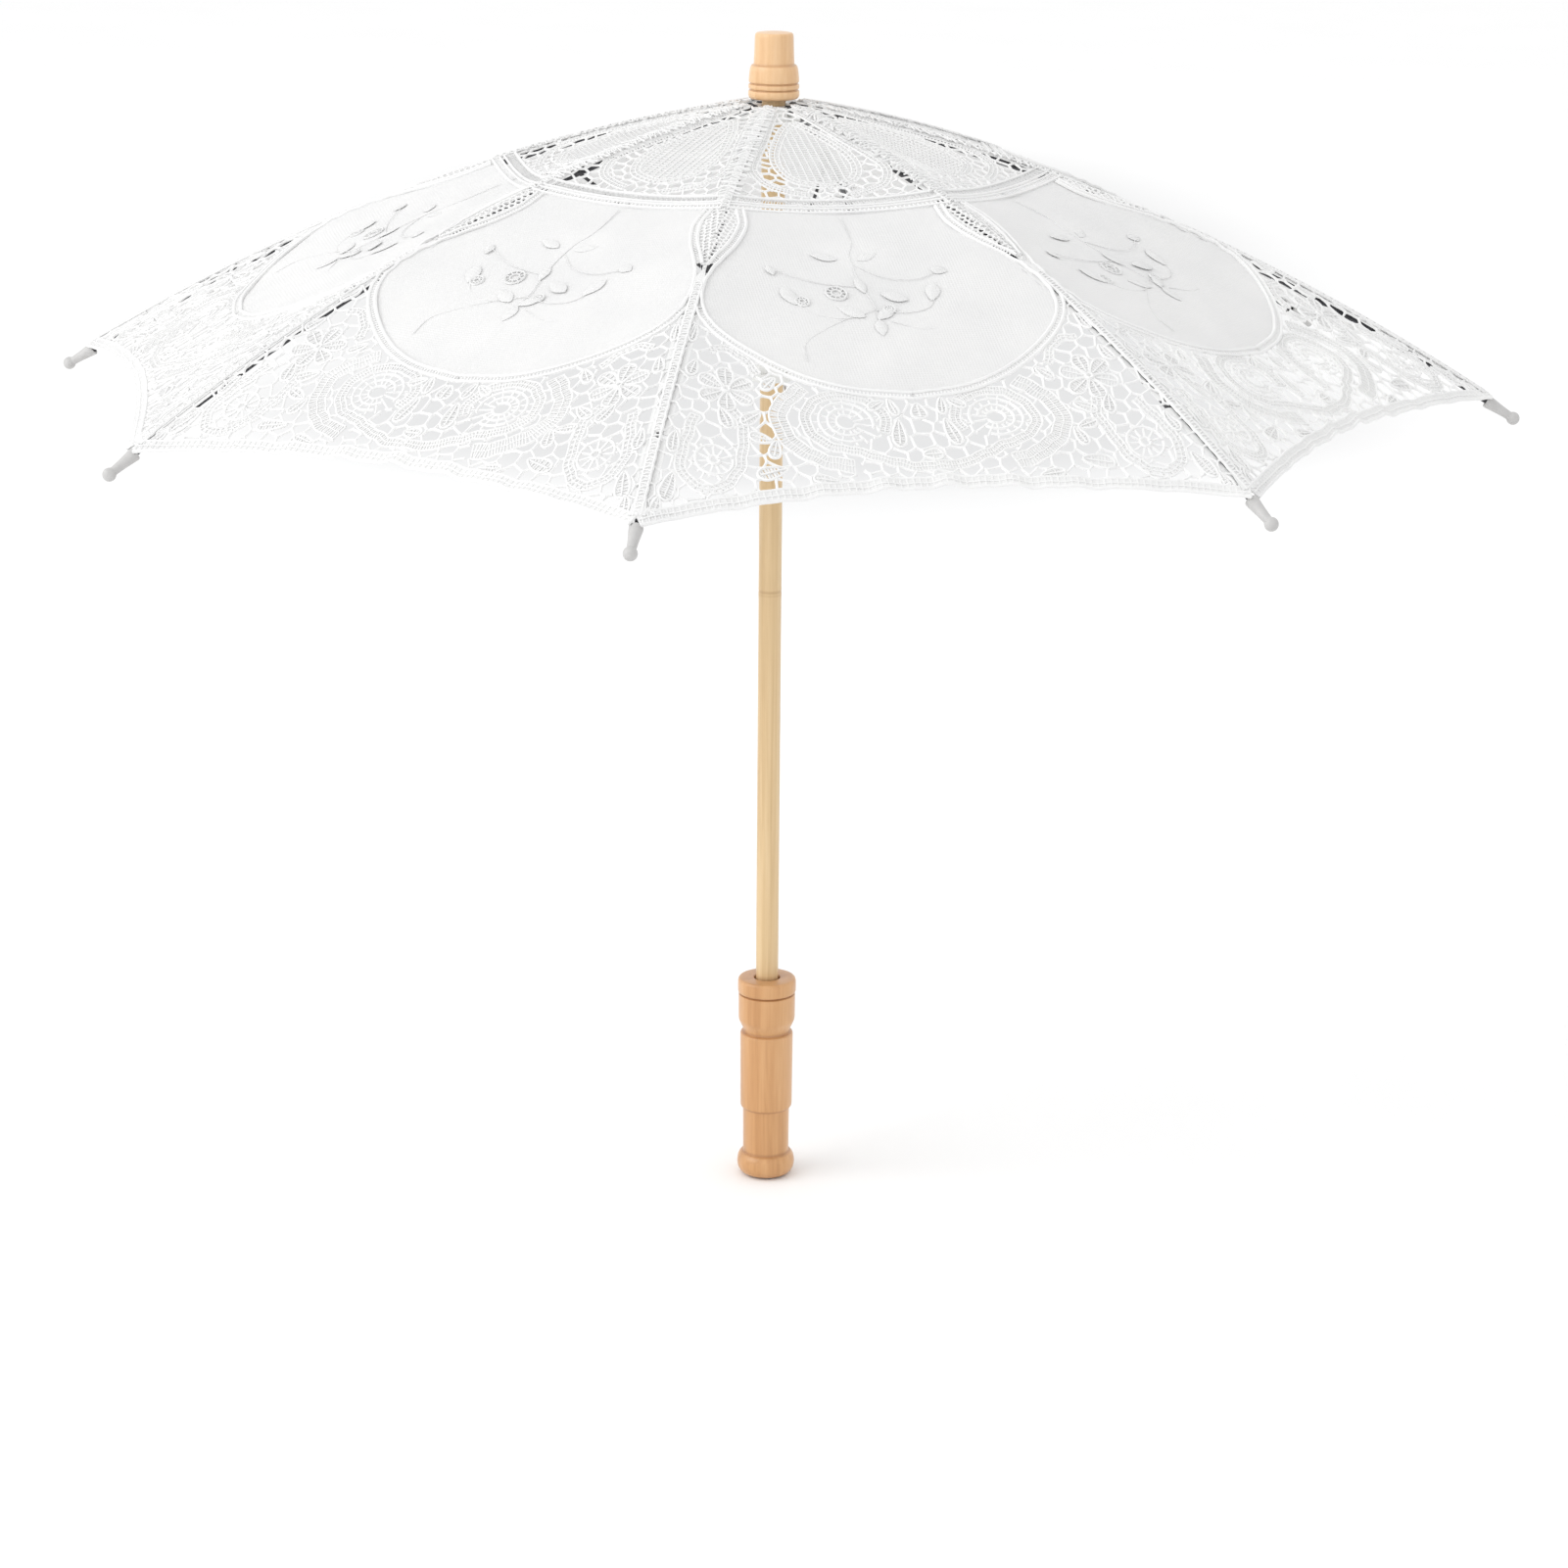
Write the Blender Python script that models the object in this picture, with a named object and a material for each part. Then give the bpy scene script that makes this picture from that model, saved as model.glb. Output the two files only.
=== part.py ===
"""Lace parasol, open: an eight-rib folding frame on a thin wooden shaft.

Metres, +Z up along the shaft, origin at the centre of the handle's flat end face.
Rib 1 lies along +X and the others follow every 45 degrees towards +Y.
"""

import math

import bmesh
import bpy
from mathutils import Matrix, Vector

# Overall
LENGTH = 0.430
RIBS = 8
STEP = 2 * math.pi / RIBS
HALF = STEP / 2

# Canopy: one curve from the hub to the tips, the same on every rib
CROWN_Z = 0.4064
CROWN_SLOPE = math.radians(9.4)
CROWN_CURVE = 0.90
PANEL_IN = 0.0102
PANEL_OUT = 0.2575
PANEL_NOTCH = 0.2535
SCALLOP = 0.0105
PANEL_T = 0.0010
PANEL_GAP = 0.0004
PANEL_SAG = 0.003

# Frame wire
PIVOT_R = 0.0085
RIB_R = 0.0010
RIB_GAP = 0.0006
EYE_R = 0.0015
EYE_W = 0.0014
HOLE_R = 0.00065
WIRE_R = 0.0004
JOINT_AT = 0.130
JOINT_DROP = 0.0034
STRETCHER_R = 0.0007

# Tips
TIP_AT = 0.2540
TIP_LENGTH = 0.01124
BALL_R = 0.0023

# Shaft
SHAFT_R = 0.0042
SHAFT_FOOT = 0.0185
SHAFT_HEAD = 0.4180
BORE_R = 0.0046

# Top notch and runner
NOTCH_R = 0.0096
SLOT_W = 0.0020
RUNNER_TOP = 0.0040
RUNNER_SLEEVE = 0.0240
RUNNER_SLEEVE_R = 0.0060
RUNNER_FLANGE_R = 0.0105
RUNNER_WIRE_AT = 0.0069
KEY_W = 0.0018
KEY_R = 0.00615
CLOSED = math.radians(78.0)

# Turned wood: (radius, height) in millimetres, from the top down
HANDLE = (
    (10.1, 78.5), (10.85, 77.7), (10.9, 73.2), (10.3, 72.8),
    (10.3, 72.3), (10.62, 71.9), (10.62, 62.2), (8.9, 58.1), (8.9, 57.2),
    (9.9, 56.0), (9.9, 46.0), (9.75, 27.6), (8.8, 26.6),
    (8.65, 8.9), (9.8, 8.0), (10.6, 6.2), (10.8, 4.4), (10.4, 2.2), (9.4, 0.7), (7.8, 0.0),
)
FERRULE = (
    (6.3, 430.0), (6.8, 429.3), (7.0, 424.5), (7.2, 419.2),
    (8.1, 418.2), (8.6, 416.4), (8.9, 413.0), (8.55, 412.5), (8.9, 412.0),
    (8.95, 410.7), (8.55, 410.2), (9.0, 409.7), (9.05, 408.2),
    (8.3, 406.9),
)


def slope(r):
    return math.tan(CROWN_SLOPE) + 2 * CROWN_CURVE * (r - PIVOT_R)


def canopy_z(r):
    """Height of the canopy's upper face over a rib."""
    d = r - PIVOT_R
    return CROWN_Z - math.tan(CROWN_SLOPE) * d - CROWN_CURVE * d * d


def rib_z(r):
    """Height of a rib's centreline, under the canopy."""
    drop = PANEL_T + RIB_GAP + RIB_R
    return canopy_z(r) - drop * math.hypot(1, slope(r))


NOTCH_Z = rib_z(PIVOT_R)
_tangent = Vector((1, 0, -slope(JOINT_AT))).normalized()
_down = Vector((_tangent.z, 0, -_tangent.x))
JOINT = Vector((JOINT_AT, 0, rib_z(JOINT_AT))) + _down * JOINT_DROP
ARM = math.hypot(JOINT.x - PIVOT_R, NOTCH_Z - JOINT.z)
OPEN = math.atan2(NOTCH_Z - JOINT.z, JOINT.x - PIVOT_R)
RUNNER_Z = NOTCH_Z - 2 * ARM * math.sin(OPEN)
TRAVEL = 2 * ARM * (math.sin(CLOSED) - math.sin(OPEN))
FOLD = CLOSED - OPEN

for leftover in list(bpy.data.objects):
    bpy.data.objects.remove(leftover, do_unlink=True)

scene = bpy.context.scene.collection


def material(name, colour, roughness, metallic=0.0):
    made = bpy.data.materials.new(name)
    made.use_nodes = True
    shader = made.node_tree.nodes["Principled BSDF"]
    shader.inputs["Base Color"].default_value = (*colour, 1)
    shader.inputs["Roughness"].default_value = roughness
    shader.inputs["Metallic"].default_value = metallic
    return made


LINEN = material("white_linen_lace", (0.88, 0.88, 0.87), 0.85)
STEEL = material("dark_rib_steel", (0.10, 0.10, 0.11), 0.40, 0.8)
BRIGHT = material("zinc_wire", (0.60, 0.60, 0.62), 0.35, 0.9)
GREY = material("grey_tip_plastic", (0.62, 0.62, 0.62), 0.40)
WHITE = material("white_runner_plastic", (0.80, 0.80, 0.78), 0.45)
PALE_WOOD = material("peach_wood", (0.86, 0.55, 0.32), 0.45)
TAN_WOOD = material("tan_wood", (0.72, 0.43, 0.20), 0.38)
STICK_WOOD = material("bamboo_stick", (0.68, 0.50, 0.28), 0.42)


def mesh_object(name, bm):
    bmesh.ops.recalc_face_normals(bm, faces=bm.faces)
    mesh = bpy.data.meshes.new(name)
    bm.to_mesh(mesh)
    bm.free()
    made = bpy.data.objects.new(name, mesh)
    scene.objects.link(made)
    return made


def cylinder(name, radius, low, high, sides=16, axis="Z", at=(0, 0, 0)):
    """A closed cylinder from low to high along an axis through at."""
    bm = bmesh.new()
    bmesh.ops.create_cone(
        bm, cap_ends=True, segments=sides, radius1=radius, radius2=radius, depth=high - low
    )
    turn = {"X": Matrix.Rotation(math.pi / 2, 4, "Y"), "Y": Matrix.Rotation(-math.pi / 2, 4, "X"), "Z": Matrix.Identity(4)}[axis]
    bmesh.ops.transform(bm, matrix=Matrix.Translation((0, 0, (low + high) / 2)), verts=bm.verts)
    bmesh.ops.transform(bm, matrix=Matrix.Translation(at) @ turn, verts=bm.verts)
    return mesh_object(name, bm)


def block(name, low, high, turn=None):
    """A box between two corners, turned about Z."""
    bm = bmesh.new()
    bmesh.ops.create_cube(bm, size=1)
    size = [high[i] - low[i] for i in range(3)]
    centre = [(high[i] + low[i]) / 2 for i in range(3)]
    bmesh.ops.transform(bm, matrix=Matrix.Translation(centre) @ Matrix.Diagonal((*size, 1)), verts=bm.verts)
    if turn is not None:
        bmesh.ops.transform(bm, matrix=Matrix.Rotation(turn, 4, "Z"), verts=bm.verts)
    return mesh_object(name, bm)


def ring(name, radius, section, height, around=40, sides=8):
    """A wire ring: a circle spun about Z."""
    bm = bmesh.new()
    circle = bmesh.ops.create_circle(bm, segments=sides, radius=section)["verts"]
    place = Matrix.Translation((radius, 0, height)) @ Matrix.Rotation(math.pi / 2, 4, "X")
    bmesh.ops.transform(bm, matrix=place, verts=circle)
    bmesh.ops.spin(
        bm, geom=bm.edges[:] + bm.verts[:], axis=(0, 0, 1), cent=(0, 0, 0),
        angle=2 * math.pi, steps=around, use_merge=True,
    )
    bmesh.ops.remove_doubles(bm, verts=bm.verts, dist=1e-6)
    return mesh_object(name, bm)


def turned(name, profile, sides):
    """A profile, top to bottom on its outer side, turned about Z with a Screw modifier."""
    mesh = bpy.data.meshes.new(name)
    points = [(r, 0, z) for r, z in profile]
    mesh.from_pydata(points, [(i, i + 1) for i in range(len(points) - 1)], [])
    made = bpy.data.objects.new(name, mesh)
    scene.objects.link(made)
    screw = made.modifiers.new("turn", "SCREW")
    screw.axis = "Z"
    screw.angle = 2 * math.pi
    screw.steps = screw.render_steps = sides
    screw.use_merge_vertices = True
    screw.merge_threshold = 1e-6
    return made


def wire(name, points, radius, resolution=2):
    """A bevelled curve through points, as a closed tube."""
    data = bpy.data.curves.new(name, "CURVE")
    data.dimensions = "3D"
    data.bevel_depth = radius
    data.bevel_resolution = resolution
    data.use_fill_caps = True
    spline = data.splines.new("POLY")
    spline.points.add(len(points) - 1)
    for place, p in zip(spline.points, points):
        place.co = (*p, 1)
    made = bpy.data.objects.new(name, data)
    scene.objects.link(made)
    return made


def solid(obj):
    """The object's evaluated shape as a plain mesh, which can be shared by copies."""
    graph = bpy.context.evaluated_depsgraph_get()
    mesh = bpy.data.meshes.new_from_object(obj.evaluated_get(graph), depsgraph=graph)
    mesh.transform(obj.matrix_world)
    mesh.name = obj.name
    return mesh


def baked(name, obj):
    made = bpy.data.objects.new(name, solid(obj))
    scene.objects.link(made)
    bpy.data.objects.remove(obj, do_unlink=True)
    weld = bmesh.new()
    weld.from_mesh(made.data)
    bmesh.ops.remove_doubles(weld, verts=weld.verts, dist=1e-7)
    bmesh.ops.recalc_face_normals(weld, faces=weld.faces)
    weld.to_mesh(made.data)
    weld.free()
    return made


def combine(obj, tools, operation):
    """Applies Booleans with helper solids, one after the other, and removes the helpers."""
    for i, tool in enumerate(tools):
        tool.hide_render = True
        tool.display_type = "WIRE"
        step = obj.modifiers.new(f"{operation.lower()}_{i}", "BOOLEAN")
        step.operation = operation
        step.solver = "EXACT"
        step.object = tool
    bpy.context.view_layer.update()
    name = obj.name
    obj.name = name + "_blank"
    made = baked(name, obj)
    for tool in tools:
        bpy.data.objects.remove(tool, do_unlink=True)
    return made


def smooth(obj, surface, angle=35):
    obj.data.shade_smooth()
    obj.data.set_sharp_from_angle(angle=math.radians(angle))
    obj.data.materials.clear()
    obj.data.materials.append(surface)
    return obj


def moved(obj, offset):
    """Shifts the mesh so that the object's origin is the point offset."""
    obj.data.transform(Matrix.Translation(-Vector(offset)))
    return obj


# ---- Turned wood on the root --------------------------------------------------------------

foot = [(r / 1000, z / 1000) for r, z in HANDLE]
handle = baked("handle", turned("handle_blank", [(0, foot[0][1]), *foot, (0, 0)], 22))
handle = combine(
    handle,
    [
        cylinder("handle_bore", 0.00450, 0.0180, 0.0830, 16),
        cylinder("handle_mouth", 0.0052, 0.0757, 0.0830, 16),
    ],
    "DIFFERENCE",
)
smooth(handle, TAN_WOOD)

head = [(r / 1000, z / 1000) for r, z in FERRULE]
ferrule = baked("ferrule", turned("ferrule_blank", [(0, LENGTH), *head, (0, head[-1][1])], 22))
ferrule = combine(ferrule, [cylinder("ferrule_bore", 0.0045, 0.4000, 0.4184, 16)], "DIFFERENCE")
smooth(ferrule, PALE_WOOD)

# The catch points between the planes of ribs 1 and 2; its slot is cut in the shaft
CATCH_TOP = RUNNER_Z - RUNNER_SLEEVE - 0.0015
shaft = cylinder("shaft", SHAFT_R, SHAFT_FOOT, SHAFT_HEAD, 20)
shaft = combine(
    shaft,
    [
        block("catch_slot", (-0.0018, -KEY_W / 2, CATCH_TOP - 0.040), (0.0060, KEY_W / 2, CATCH_TOP + 0.0008), HALF),
    ],
    "DIFFERENCE",
)
STOP_Z = RUNNER_Z + RUNNER_TOP + 0.0014
stop_bore = cylinder("stop_bore", 0.00105, -0.01, 0.01, 12, "X", (0, 0, STOP_Z))
stop_bore.data.transform(Matrix.Rotation(HALF + math.pi / 2, 4, "Z"))
shaft = combine(shaft, [stop_bore], "DIFFERENCE")
smooth(shaft, STICK_WOOD)

stop_pin = cylinder("stop_pin", 0.0008, -0.0062, 0.0062, 12, "X")
stop_pin.rotation_euler = (0, 0, HALF + math.pi / 2)
stop_pin.location = (0, 0, STOP_Z)
smooth(stop_pin, BRIGHT)

# ---- Top notch and the wire that the rib roots turn on ------------------------------------

notch = cylinder("top_notch", NOTCH_R, NOTCH_Z - 0.0046, NOTCH_Z + 0.0009, 24)
notch = combine(notch, [cylinder("notch_bore", BORE_R, 0.38, 0.42, 16)], "DIFFERENCE")
notch = combine(
    notch,
    [ring("notch_channel", PIVOT_R, HOLE_R, NOTCH_Z, 24, 6)]
    + [block(f"notch_slot_{i}", (0.0066, -SLOT_W / 2, 0.38), (0.02, SLOT_W / 2, 0.42), i * STEP) for i in range(RIBS)],
    "DIFFERENCE",
)
smooth(notch, WHITE)
notch_wire = smooth(ring("notch_wire", PIVOT_R, WIRE_R, NOTCH_Z, 24, 5), BRIGHT, 60)

# ---- Runner: sleeve and slotted flange, with a keyway that clears the catch ----------------

runner = cylinder("runner", RUNNER_SLEEVE_R, RUNNER_Z - RUNNER_SLEEVE, RUNNER_Z + RUNNER_TOP, 20)
runner = combine(
    runner,
    [
        cylinder("runner_flange", RUNNER_FLANGE_R, RUNNER_Z - 0.0032, RUNNER_Z + 0.0030, 24),
        cylinder("runner_lip", 0.0072, RUNNER_Z - RUNNER_SLEEVE - 1e-5, RUNNER_Z - RUNNER_SLEEVE + 0.0030, 20),
    ],
    "UNION",
)
runner = combine(
    runner,
    [
        cylinder("runner_bore", BORE_R, 0.2, 0.4, 16),
        block("runner_key", (0.003, -KEY_W / 2, 0.2), (KEY_R, KEY_W / 2, 0.4), HALF),
    ],
    "DIFFERENCE",
)
runner = combine(
    runner,
    [ring("runner_channel", RUNNER_WIRE_AT, 0.0005, RUNNER_Z, 24, 6)]
    + [block(f"runner_slot_{i}", (0.0063, -SLOT_W / 2, RUNNER_Z - 0.01), (0.02, SLOT_W / 2, RUNNER_Z + 0.0035), i * STEP) for i in range(RIBS)],
    "DIFFERENCE",
)
moved(runner, (0, 0, RUNNER_Z))
runner.location = (0, 0, RUNNER_Z)
smooth(runner, WHITE)
runner_wire = ring("runner_wire", RUNNER_WIRE_AT, 0.0003, 0, 24, 5)
smooth(runner_wire, BRIGHT, 60)
runner_wire.parent = runner

# ---- Top catch: a bent wire whose nose stands out of the shaft under the runner ------------

nose = [(1.4, -36.0), (1.9, -28.0), (3.2, -14.0), (4.9, -4.6), (5.25, -2.6), (4.9, -0.8), (4.2, -0.5), (2.4, -0.5)]
catch = wire("catch_blank", [(x / 1000, 0, z / 1000) for x, z in nose], 0.0005, 1)
bpy.context.view_layer.update()
catch = baked("top_catch", catch)
catch.location = (0, 0, CATCH_TOP)
catch.rotation_euler = (0, 0, HALF)
smooth(catch, BRIGHT, 60)

# ---- One rib's pieces, made along +X, then shared by the eight ribs ------------------------

RIB_ROWS = 11
rib_points = [
    Vector((r, 0, rib_z(r)))
    for r in (PIVOT_R + (TIP_AT - PIVOT_R) * i / (RIB_ROWS - 1) for i in range(RIB_ROWS))
]
end_tangent = Vector((1, 0, -slope(TIP_AT))).normalized()
rib_points.append(rib_points[-1] + end_tangent * 0.0040)
rib = wire("rib_wire", rib_points, RIB_R, 2)
bpy.context.view_layer.update()
rib = baked("rib_blank", rib)
pivot = (PIVOT_R, 0, NOTCH_Z)
rib = combine(rib, [cylinder("rib_eye", EYE_R, -EYE_W / 2, EYE_W / 2, 14, "Y", pivot)], "UNION")
rib = combine(
    rib,
    [
        # the root is flattened to the eye's width inside its slot
        block("rib_cheek_a", (0.0, EYE_W / 2, 0.39), (0.0120, 0.01, 0.42)),
        block("rib_cheek_b", (0.0, -0.01, 0.39), (0.0120, -EYE_W / 2, 0.42)),
        cylinder("rib_hole", HOLE_R, -0.01, 0.01, 8, "Y", pivot),
    ],
    "DIFFERENCE",
)
rib_mesh = smooth(moved(rib, pivot), STEEL, 50).data
bpy.data.objects.remove(rib, do_unlink=True)

# Tip: a tapered socket on the rib's end, a neck and a ball; its thread hole goes across
tip_profile = [
    (2.45, 0.0), (2.35, 1.5), (1.95, 4.5), (1.65, 7.4), (1.55, 9.0),
]
ball = [
    (BALL_R * 1000 * math.sin(a), TIP_LENGTH * 1000 - BALL_R * 1000 * math.cos(a))
    for a in (math.radians(d) for d in (42, 75, 105, 145))
]
outline = [(0, 0.0), *tip_profile, *ball, (0, TIP_LENGTH * 1000 + BALL_R * 1000)]
tip_turned = turned("tip_turned", [(r / 1000, -z / 1000) for r, z in outline], 10)
bpy.context.view_layer.update()
tip = baked("tip_blank", tip_turned)
tip = combine(
    tip,
    [
        cylinder("tip_socket", 0.00128, -0.0044, 0.0100, 8),
        cylinder("tip_thread_hole", 0.0004, -0.01, 0.01, 6, "Y", (0, 0, -0.0068)),
    ],
    "DIFFERENCE",
)
aim = end_tangent.to_track_quat("-Z", "Y").to_matrix().to_4x4()
tip.data.transform(Matrix.Translation(Vector((TIP_AT, 0, rib_z(TIP_AT))) - Vector(pivot)) @ aim)
tip_mesh = smooth(tip, GREY, 40).data
bpy.data.objects.remove(tip, do_unlink=True)

# Joint clip: a saddle under the rib with two cheeks, square to the rib at the joint
seat = Vector((JOINT_AT, 0, rib_z(JOINT_AT)))
clip = block("clip_blank", (-0.0032, -0.0022, -0.0050), (0.0032, 0.0022, 0.0004))
clip = combine(
    clip,
    [
        cylinder("clip_groove", 0.00128, -0.01, 0.01, 10, "X"),
        block("clip_open", (-0.01, -0.00128, 0.0), (0.01, 0.00128, 0.01)),
        block("clip_slot", (-0.01, -0.0009, -0.01), (0.01, 0.0009, -0.00168)),
        cylinder("clip_hole", 0.0007, -0.01, 0.01, 8, "Y", (0, 0, -JOINT_DROP)),
    ],
    "DIFFERENCE",
)
tilt = Matrix.Rotation(math.atan(slope(JOINT_AT)), 4, "Y")
clip.data.transform(Matrix.Translation(seat - Vector(pivot)) @ tilt)
clip_mesh = smooth(clip, STEEL, 40).data
bpy.data.objects.remove(clip, do_unlink=True)

# Joint pin: a rivet with a head at each side
pin = cylinder("pin_blank", 0.00045, -0.0027, 0.0027, 8, "Y")
pin = combine(
    pin,
    [
        cylinder("pin_head_a", 0.0010, 0.0024, 0.0030, 8, "Y"),
        cylinder("pin_head_b", 0.0010, -0.0030, -0.0024, 8, "Y"),
    ],
    "UNION",
)
pin.data.transform(Matrix.Translation(JOINT - Vector(pivot)))
pin_mesh = smooth(pin, BRIGHT, 40).data
bpy.data.objects.remove(pin, do_unlink=True)

# Stretcher: straight wire from the rib joint to the runner, with an eye at the joint
low_end = Vector((PIVOT_R, 0, RUNNER_Z))
stretcher = wire("stretcher_wire", [JOINT.lerp(low_end, t) for t in (0.004, 0.5, 1.0)], STRETCHER_R, 2)
bpy.context.view_layer.update()
stretcher = baked("stretcher_blank", stretcher)
stretcher = combine(stretcher, [cylinder("stretcher_eye", 0.00145, -0.0006, 0.0006, 12, "Y", JOINT)], "UNION")
stretcher = combine(
    stretcher,
    [
        block("stretcher_cheek_a", (JOINT.x - 0.005, 0.0006, 0.3), (JOINT.x + 0.01, 0.01, 0.4)),
        block("stretcher_cheek_b", (JOINT.x - 0.005, -0.01, 0.3), (JOINT.x + 0.01, -0.0006, 0.4)),
        cylinder("stretcher_hole", 0.0007, -0.01, 0.01, 8, "Y", JOINT),
    ],
    "DIFFERENCE",
)
stretcher_mesh = smooth(moved(stretcher, JOINT), STEEL, 50).data
bpy.data.objects.remove(stretcher, do_unlink=True)


def panel_edge(u):
    """Radius of a panel's outer edge: notched for the tip at the rib, hollowed towards mid-gore."""
    if abs(u) < 0.04:
        return PANEL_NOTCH
    return PANEL_OUT - SCALLOP * (1 - (1 - abs(u)) ** 1.8)


def panel_point(r, u):
    """Upper face of a panel: r is the radius on the ribs, u runs from -1 to 1 between two mid-gore lines."""
    chord = 2 * r * math.sin(HALF)
    t = abs(u) / 2 * (1 - PANEL_GAP / chord)
    side = math.copysign(STEP, u)
    here, there = Vector((r, 0, 0)), Vector((r * math.cos(side), r * math.sin(side), 0))
    place = here.lerp(there, t)
    along = (r - PANEL_IN) / (PANEL_NOTCH - PANEL_IN)
    place.z = canopy_z(r) - PANEL_SAG * 4 * t * (1 - t) * math.sin(math.pi * min(1.0, along))
    return place


PANEL_ROWS, PANEL_SIDES = 10, (-1.0, -0.66, -0.33, -0.06, -0.025, 0.0, 0.025, 0.06, 0.33, 0.66, 1.0)
bm = bmesh.new()
grid = []
for i in range(PANEL_ROWS):
    row = []
    for u in PANEL_SIDES:
        r = PANEL_IN + (panel_edge(u) - PANEL_IN) * i / (PANEL_ROWS - 1)
        row.append(bm.verts.new(panel_point(r, u)))
    grid.append(row)
for i in range(PANEL_ROWS - 1):
    for j in range(len(PANEL_SIDES) - 1):
        bm.faces.new((grid[i][j], grid[i + 1][j], grid[i + 1][j + 1], grid[i][j + 1]))
bmesh.ops.triangulate(bm, faces=bm.faces)
thick = bmesh.ops.extrude_face_region(bm, geom=bm.faces[:])["geom"]
for v in (g for g in thick if isinstance(g, bmesh.types.BMVert)):
    radius = math.hypot(v.co.x, v.co.y)
    v.co.z -= PANEL_T * math.hypot(1, slope(radius))
panel = moved(mesh_object("panel_blank", bm), pivot)
panel_mesh = smooth(panel, LINEN, 60).data
bpy.data.objects.remove(panel, do_unlink=True)

for k in range(RIBS):
    number = k + 1
    turn = k * STEP
    root = Vector((PIVOT_R * math.cos(turn), PIVOT_R * math.sin(turn), NOTCH_Z))
    hinge = bpy.data.objects.new(f"rib_hinge_{number}", None)
    scene.objects.link(hinge)
    hinge.location = root
    hinge.rotation_euler = (0, 0, turn)
    for name, mesh in (
        ("rib", rib_mesh),
        ("rib_tip", tip_mesh),
        ("joint_clip", clip_mesh),
        ("joint_pin", pin_mesh),
        ("canopy_panel", panel_mesh),
    ):
        piece = bpy.data.objects.new(f"{name}_{number}", mesh)
        scene.objects.link(piece)
        piece.parent = hinge
    joint = bpy.data.objects.new(f"stretcher_hinge_{number}", None)
    scene.objects.link(joint)
    joint.parent = hinge
    joint.location = JOINT - Vector(pivot)
    piece = bpy.data.objects.new(f"stretcher_{number}", stretcher_mesh)
    scene.objects.link(piece)
    piece.parent = joint
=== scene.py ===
"""Looks of the lace parasol: cut linen and tape lace canopy, turned wood, wire frame, studio."""

import math

import bmesh
import bpy
import numpy as np
from mathutils import Matrix, Vector
from mathutils.geometry import delaunay_2d_cdt


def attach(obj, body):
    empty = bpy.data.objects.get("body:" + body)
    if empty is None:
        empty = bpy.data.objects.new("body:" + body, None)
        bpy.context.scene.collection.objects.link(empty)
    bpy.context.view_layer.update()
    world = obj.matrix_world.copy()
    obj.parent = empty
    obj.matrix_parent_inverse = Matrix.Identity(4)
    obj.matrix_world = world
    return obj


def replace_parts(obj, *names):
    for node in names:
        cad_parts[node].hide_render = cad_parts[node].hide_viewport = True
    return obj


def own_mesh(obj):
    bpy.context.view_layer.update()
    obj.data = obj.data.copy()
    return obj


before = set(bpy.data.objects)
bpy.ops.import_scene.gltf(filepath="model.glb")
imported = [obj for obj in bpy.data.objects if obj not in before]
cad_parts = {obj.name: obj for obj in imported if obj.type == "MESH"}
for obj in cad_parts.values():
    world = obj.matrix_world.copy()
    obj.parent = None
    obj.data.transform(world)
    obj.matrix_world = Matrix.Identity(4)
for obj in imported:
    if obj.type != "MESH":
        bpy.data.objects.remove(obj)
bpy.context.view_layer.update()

# ------------------------------------------------------------------ the canopy's own measures
HALF = math.pi / 8
TAN = math.tan(HALF)
COS = math.cos(HALF)
CROWN_Z, CROWN_SLOPE, CROWN_CURVE, PIVOT_R = 0.4064, math.radians(9.4), 0.90, 0.0085
IN_R, EDGE_MID, EDGE_RISE = 0.0102, 0.2470, 0.0105
SEAM = 0.0014


def crown_height(r):
    d = r - PIVOT_R
    return CROWN_Z - math.tan(CROWN_SLOPE) * d - CROWN_CURVE * d * d


def place(x, y, lift=0.0):
    """A gore's own flat coordinates (x across, y outwards along the mid-gore line) onto the curved canopy.
    The result has the mid-gore line along +X; lift is along the cloth's normal."""
    x, y = np.asarray(x, float), np.asarray(y, float)
    r = y / COS
    u = np.clip(x / (y * TAN), -1.05, 1.05)
    s = np.clip((r - IN_R) / (0.2535 - IN_R), 0, 1)
    z = crown_height(r) - 0.003 * (1 - u * u) * np.sin(np.pi * s)
    # the hem sits a little slack between the ribs, and the cloth puckers softly beside each seam
    side = np.clip(1 - np.abs(u), 0, 1)
    z = z + 0.00045 * np.sin(y * 210 + 3 * u) * np.sin(np.pi * side) * np.clip((y - 0.15) / 0.07, 0, 1)
    z = z + 0.00030 * np.sin(y * 900 + 2.0 * u) * np.exp(-((side - 0.05) / 0.05) ** 2) * np.clip((y - 0.06) / 0.1, 0, 1)
    rim = np.clip((r - 0.232) / 0.014, 0, 1)
    z = z + rim * side * (0.00055 * np.sin(x * 330 + 1.1) + 0.00035 * np.sin(x * 610 + 0.4))
    slope = math.tan(CROWN_SLOPE) + 2 * CROWN_CURVE * (r - PIVOT_R)
    scale = 1 / np.sqrt(1 + slope * slope)
    return np.stack([y + lift * slope * scale, x + 0 * z, z + lift * scale], -1)


def normal_at(y):
    slope = math.tan(CROWN_SLOPE) + 2 * CROWN_CURVE * (np.asarray(y, float) / COS - PIVOT_R)
    n = np.stack([slope, 0 * slope, np.ones_like(slope)], -1)
    return n / np.linalg.norm(n, axis=-1, keepdims=True)


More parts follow.
